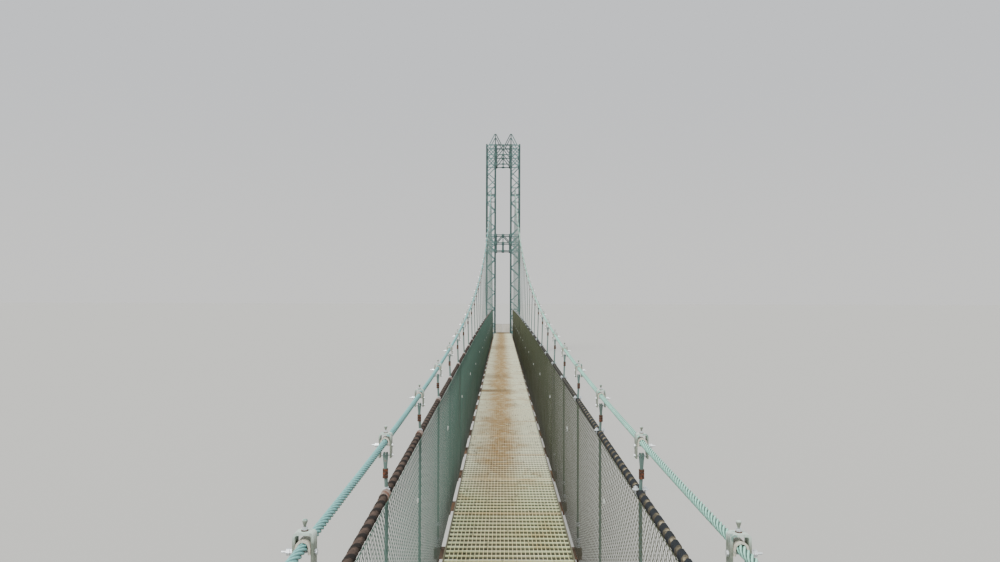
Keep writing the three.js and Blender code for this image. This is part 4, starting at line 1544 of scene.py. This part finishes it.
class BRIDGE_OT_towers(BridgeOperator, Operator):
    """Paint the towers, and add their gusset plates, splices, bolts and base plates"""

    bl_idname = "bridge.towers"
    bl_label = "Towers"

    PAINT = srgb(62, 92, 88)
    PAINT_WORN = srgb(92, 116, 108)
    PLATE = 0.7 * MM
    BOLT_INSET = 2.4 * MM
    # Heights of the two bolts at a joint of the lacing, from the joint
    LACING_BOLTS = (-1.8 * MM, 1.8 * MM)
    # Half width, half height and cut corners of the gussets on braces and posts, and of the splices
    MIDDLE_GUSSET = (8 * MM, 5 * MM, 2.5 * MM)
    INNER_GUSSET = (8.5 * MM, 6.5 * MM, 3 * MM)
    OUTER_GUSSET = (4 * MM, 6.5 * MM, 0.0)
    SPLICE = (3.8 * MM, 9 * MM, 0.0)
    INNER_GUSSET_X = 40.5 * MM
    SPLICE_LEVELS = (250 * MM, 735 * MM)

    def bolted_plate(self, bm, x, face, z, plate, out):
        """A plate on a face across the bridge, with a bolt near each corner."""
        half_wide, half_high, cut = plate
        low = [(half_wide - cut, -half_high), (half_wide, -half_high + cut)]
        high = [(across, -height) for across, height in reversed(low)]
        outline = [(x + across, face, z + height) for across, height in mirrored(low + high)]
        add_prism(bm, outline, (0, out * self.PLATE, 0))
        for side, level in product((-1, 1), repeat=2):
            bolt_x = x + side * (half_wide - self.BOLT_INSET)
            bolt_z = z + level * (half_high - self.BOLT_INSET)
            self.bolt(bm, (bolt_x, face + out * self.PLATE, bolt_z), (0, out, 0))

    def bolt(self, bm, place, out):
        place, out = Vector(place), Vector(out)
        add_rod(bm, place, place + out * 0.65 * MM, self.sizes.bolt, 6)

    def fittings(self):
        """The fittings of one tower, about its own centre, facing mid-span at -Y."""
        bm = bmesh.new()
        levels = [low + k * LACING_PITCH for low, count in LACING_RUNS for k in range(count)]
        for out in (-1, 1):
            face = out * LEG_HALF_DEEP
            for level in (*LOWER_PORTAL, *UPPER_PORTAL):
                z = DECK_TOP + level
                self.bolted_plate(bm, 0, face, z, self.MIDDLE_GUSSET, out)
                for side in (-1, 1):
                    self.bolted_plate(bm, side * self.INNER_GUSSET_X, face, z, self.INNER_GUSSET, out)
                    outer = side * (LEG_X + POST_X + 0.4 * MM)
                    self.bolted_plate(bm, outer, face, z, self.OUTER_GUSSET, out)
            for k, level in enumerate(levels):
                # The joints lie on the inner and the outer post in turn
                inward = -1 if k % 2 == 0 else 1
                for side, lift in product((-1, 1), self.LACING_BOLTS):
                    place = (side * (LEG_X + inward * POST_X), face, DECK_TOP + level + lift)
                    self.bolt(bm, place, (0, out, 0))
            for side, post, level in product((-1, 1), (-1, 1), self.SPLICE_LEVELS):
                x = side * LEG_X + post * (POST_X + 0.2 * MM)
                self.bolted_plate(bm, x, face, DECK_TOP + level, self.SPLICE, out)
        return as_template(bm)

    def base_plates(self):
        """The plates under the posts of one tower, each held by four bolts."""
        bm = bmesh.new()
        half, bolt, top = 6.4 * MM, 4.9 * MM, SEAT_TOP + 1.3 * MM
        for side, post_x, post_y in product((-1, 1), repeat=3):
            x = side * LEG_X + post_x * (POST_X - 0.6 * MM)
            y = post_y * (POST_Y - 0.5 * MM)
            add_box(bm, (x - half, y - half, SEAT_TOP), (x + half, y + half, top))
            for across, along in product((-bolt, bolt), repeat=2):
                add_upright(bm, SEAT_TOP, SEAT_TOP + 3.6 * MM, 0.6 * MM, 8, x + across, y + along)
                add_upright(bm, top, top + 1.1 * MM, 1.1 * MM, 6, x + across, y + along)
        return as_template(bm)

    def execute(self, context):
        colours = self.colours
        finish = tower_paint("tower paint", colours)
        plate = worn_paint("gusset paint", self.PAINT, self.PAINT_WORN, colours, 0.25, 0.25, 0.01, 0.68)
        zinc = galvanised("dull galvanised", colours, 0.8)
        for end_name, end in ENDS.items():
            for part in ("lower_portal", "upper_portal"):
                dress(f"{end_name}_{part}", finish)
            for side_name in SIDES:
                for part in ("leg", "peak"):
                    dress(f"{end_name}_{side_name}_{part}", finish)
            place = [Matrix.Translation((0, end * TOWER_Y, 0)) @ facing(end)]
            fitted(f"{end_name}_tower_gussets", self.fittings(), place, plate)
            fitted(f"{end_name}_tower_base_plates", self.base_plates(), place, zinc)
        return {"FINISHED"}


class BRIDGE_OT_saddles(BridgeOperator, Operator):
    """Finish the saddles, and add cable keepers, stay sockets and handrail ends"""

    bl_idname = "bridge.saddles"
    bl_label = "Saddles and Anchorages"

    STEEL = srgb(136, 148, 146)
    STEEL_WORN = srgb(96, 104, 102)
    # Sizes in mm of the strap over a saddle
    KEEPER = {"half_width": 2.1, "top": 2.1, "bottom": -1.4, "corner": 2.0, "thick": 0.6, "long": 3.6}
    # Places of the clips along a stay, from its end
    CLIPS = (38 * MM, 48 * MM, 58 * MM)

    def keeper(self):
        """A strap over the cable on its saddle, with a foot and a bolt on each side."""
        bm = bmesh.new()
        add_strap(bm, self.KEEPER, bends=4)
        half, foot_low, foot_top = self.KEEPER["long"] / 2 * MM, -1.7 * MM, -1.1 * MM
        for side in (-1, 1):
            inner, outer = sorted((side * 1.5 * MM, side * 3.4 * MM))
            add_box(bm, (inner, -half, foot_low), (outer, half, foot_top))
            add_upright(bm, foot_top, 0, 0.75 * MM, 6, side * 2.7 * MM)
        return as_template(bm)

    def socket(self):
        """A stay's end socket on its bearing plate, about the end of the cable, along +Z."""
        bm = bmesh.new()
        add_turned(bm, [(4.2, 0), (4.2, 2), (3.4, 2), (3.4, 9), (1.7, 26), (1.9, 26), (1.9, 29)], 12)
        half, thick = 15 * MM, 1.6 * MM
        verts = add_box(bm, (-half, -half, 0), (half, half, thick))
        edges = {edge for vert in verts for edge in vert.link_edges}
        upright = [edge for edge in edges if abs(edge.verts[0].co.z - edge.verts[1].co.z) > MM]
        round_edges(bm, upright, 3 * MM)
        for x, y in product((-10.5 * MM, 10.5 * MM), repeat=2):
            add_upright(bm, thick, 5.5 * MM, 0.8 * MM, 8, x, y)
            add_upright(bm, thick, 3.4 * MM, 1.7 * MM, 6, x, y)
        return as_template(bm)

    def clips(self):
        """What grips a stay near its socket, along +Z: bars, each with a bent bolt round the stay."""
        bm = bmesh.new()
        bend, wire, low, high = 1.8 * MM, 0.45 * MM, 0.9 * MM, 1.7 * MM
        for z in self.CLIPS:
            add_hoop(bm, (0, 0, z), (0, 0, 1), (-1, 0, 0), bend, wire, math.pi)
            add_box(bm, (-2.8 * MM, low, z - 1.4 * MM), (2.8 * MM, high, z + 1.4 * MM))
            for x in (-bend, bend):
                add_rod(bm, (x, 0, z), (x, 3.2 * MM, z), wire, 6)
                add_rod(bm, (x, high, z), (x, 2.7 * MM, z), 0.85 * MM, 6)
        return as_template(bm)

    def rail_end(self):
        """A flange on the tower's face, with two bolts, and the sleeve that the handrail ends in."""
        bm = bmesh.new()
        front = -0.9 * MM
        add_rod(bm, (0, front, 0), (0, 0, 0), 4.4 * MM, 12)
        add_rod(bm, (0, -7 * MM, 0), (0, front, 0), 2.3 * MM, 10)
        for x in (-3 * MM, 3 * MM):
            add_rod(bm, (x, -1.7 * MM, 0), (x, front, 0), 0.8 * MM, 6)
        return as_template(bm)

    def execute(self, context):
        colours = self.colours
        steel = worn_paint("saddle steel", self.STEEL, self.STEEL_WORN, colours, 0.35, 0.35, 0.006, 0.5)
        zinc = galvanised("dull galvanised", colours, 0.8)
        span, stay, centre_y, centre_z = saddle_arc()
        seats, stays, rails = [], [], []
        for end, side in product(ENDS.values(), SIDES.values()):
            for angle in (span / 2, -stay / 2):
                y = centre_y - SADDLE_RADIUS * math.sin(angle)
                z = centre_z + SADDLE_RADIUS * math.cos(angle)
                place = Matrix.Translation((side * CABLE_X_TOWER, y, z))
                seats.append(facing(end) @ place @ Matrix.Rotation(angle, 4, "X"))
            place = Matrix.Translation((side * CABLE_X_TOWER, ANCHOR_Y, ANCHOR_POINT_Z))
            stays.append(facing(end) @ place @ Matrix.Rotation(math.pi / 2 - stay, 4, "X"))
            place = Matrix.Translation((side * RAIL_X, TOWER_FACE, rail_height(TOWER_FACE)))
            rails.append(facing(end) @ place)
        for end_name, side_name in product(ENDS, SIDES):
            dress(f"{end_name}_{side_name}_saddle", steel)
        for name, template, places, finish in (
            ("cable_keepers", self.keeper(), seats, zinc),
            ("stay_sockets", self.socket(), stays, steel),
            ("stay_clips", self.clips(), stays, zinc),
            ("handrail_ends", self.rail_end(), rails, zinc),
        ):
            fitted(name, template, places, finish)
        return {"FINISHED"}


class BRIDGE_OT_concrete(BridgeOperator, Operator):
    """Cast the abutments and anchor blocks with their edges rounded"""

    bl_idname = "bridge.concrete"
    bl_label = "Concrete"

    def execute(self, context):
        finish = cast_concrete("cast concrete", self.colours)
        names = [f"{end}_abutment" for end in ENDS]
        names += [f"{end}_{side}_anchor" for end, side in product(ENDS, SIDES)]
        for name in names:
            bm = bmesh.new()
            bm.from_mesh(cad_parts[name].data)
            bmesh.ops.remove_doubles(bm, verts=bm.verts, dist=1e-6)
            bmesh.ops.dissolve_limit(bm, angle_limit=0.01, verts=bm.verts, edges=bm.edges)
            round_edges(bm, list(bm.edges), 1.6 * MM)
            bm.loops.layers.uv.verify()
            finished(f"{name}_cast", made_solid(bm), finish, [name], crease=60)
        return {"FINISHED"}


class BRIDGE_OT_stage(BridgeOperator, Operator):
    """Set the floor, the light and the camera"""

    bl_idname = "bridge.stage"
    bl_label = "Stage"

    def execute(self, context):
        scene = context.scene
        stage = scene.bridge_stage
        bm = bmesh.new()
        bmesh.ops.create_grid(bm, x_segments=1, y_segments=1, size=stage.floor_size / 2)
        mesh = bpy.data.meshes.new("floor")
        bm.to_mesh(mesh)
        bm.free()
        mesh.materials.append(plain_floor("floor", stage.floor))
        floor = bpy.data.objects.new("floor", mesh)
        scene.collection.objects.link(floor)
        floor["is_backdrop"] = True

        world = bpy.data.worlds.new("daylight")
        world.use_nodes = True
        tree = world.node_tree
        background = tree.nodes["Background"]
        background.inputs["Strength"].default_value = stage.daylight
        direction = node(tree, "ShaderNodeTexCoord").outputs["Generated"]
        rising = between(tree, axes(tree, direction)["Z"], 0.0, 0.3)
        # The horizon is as bright as the floor that it meets
        light = mixed(tree, rising, (1.0, 1.0, 0.98), (0.9, 0.92, 0.95))
        tree.links.new(light, background.inputs["Color"])
        scene.world = world

        lamp = bpy.data.lights.new("key", "SUN")
        lamp.energy = stage.sun
        lamp.angle = math.radians(35)
        lamp.color = (1.0, 0.98, 0.94)
        key = bpy.data.objects.new("key", lamp)
        key.rotation_euler = (math.radians(28), math.radians(-14), 0)
        scene.collection.objects.link(key)

        camera = bpy.data.cameras.new("camera")
        camera.lens = CAMERA_LENS
        camera.sensor_width = 36
        camera.sensor_fit = "HORIZONTAL"
        camera.clip_start = 0.005
        camera.clip_end = 200
        viewer = bpy.data.objects.new("camera", camera)
        flat = math.cos(CAMERA_PITCH)
        forward = Vector(
            (math.sin(CAMERA_YAW) * flat, math.cos(CAMERA_YAW) * flat, math.sin(CAMERA_PITCH))
        )
        level = Vector((math.cos(CAMERA_YAW), -math.sin(CAMERA_YAW), 0))
        right = Matrix.Rotation(-CAMERA_ROLL, 3, forward) @ level
        up = right.cross(forward)
        turn = Matrix((right, up, -forward)).transposed().to_4x4()
        viewer.matrix_world = Matrix.Translation(CAMERA_PLACE) @ turn
        scene.collection.objects.link(viewer)
        scene.camera = viewer
        return {"FINISHED"}


OPERATORS = (
    BRIDGE_OT_stage,
    BRIDGE_OT_main_cables,
    BRIDGE_OT_handrails,
    BRIDGE_OT_hangers,
    BRIDGE_OT_fences,
    BRIDGE_OT_deck,
    BRIDGE_OT_deck_frame,
    BRIDGE_OT_towers,
    BRIDGE_OT_saddles,
    BRIDGE_OT_concrete,
)


class BRIDGE_PT_footbridge(Panel):
    """Buttons for each group of pieces, with their sizes and colours"""

    bl_idname = "BRIDGE_PT_footbridge"
    bl_label = "Footbridge"
    bl_space_type = "VIEW_3D"
    bl_region_type = "UI"
    bl_category = "Footbridge"

    def draw(self, context):
        for operator in OPERATORS:
            self.layout.operator(operator.bl_idname)
        scene = context.scene
        for group in (scene.bridge_sizes, scene.bridge_colours, scene.bridge_stage):
            box = self.layout.box()
            for name in group.bl_rna.properties.keys():
                if name not in ("rna_type", "name"):
                    box.prop(group, name)


CLASSES = (BridgeSizes, BridgeColours, BridgeStage, *OPERATORS, BRIDGE_PT_footbridge)


def register():
    for cls in CLASSES:
        bpy.utils.register_class(cls)
    bpy.types.Scene.bridge_sizes = PointerProperty(type=BridgeSizes)
    bpy.types.Scene.bridge_colours = PointerProperty(type=BridgeColours)
    bpy.types.Scene.bridge_stage = PointerProperty(type=BridgeStage)


def unregister():
    del bpy.types.Scene.bridge_stage
    del bpy.types.Scene.bridge_colours
    del bpy.types.Scene.bridge_sizes
    for cls in reversed(CLASSES):
        bpy.utils.unregister_class(cls)


def main():
    """Dresses the whole bridge and works out how large it is beside its frame."""
    register()
    for operator in OPERATORS:
        group, _, name = operator.bl_idname.partition(".")
        getattr(getattr(bpy.ops, group), name)()
    corners = {"cad": CAD_BOX, "visual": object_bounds()}
    sizes = {name: [list(low), list(high)] for name, (low, high) in corners.items()}


if __name__ == "__main__":
    main()
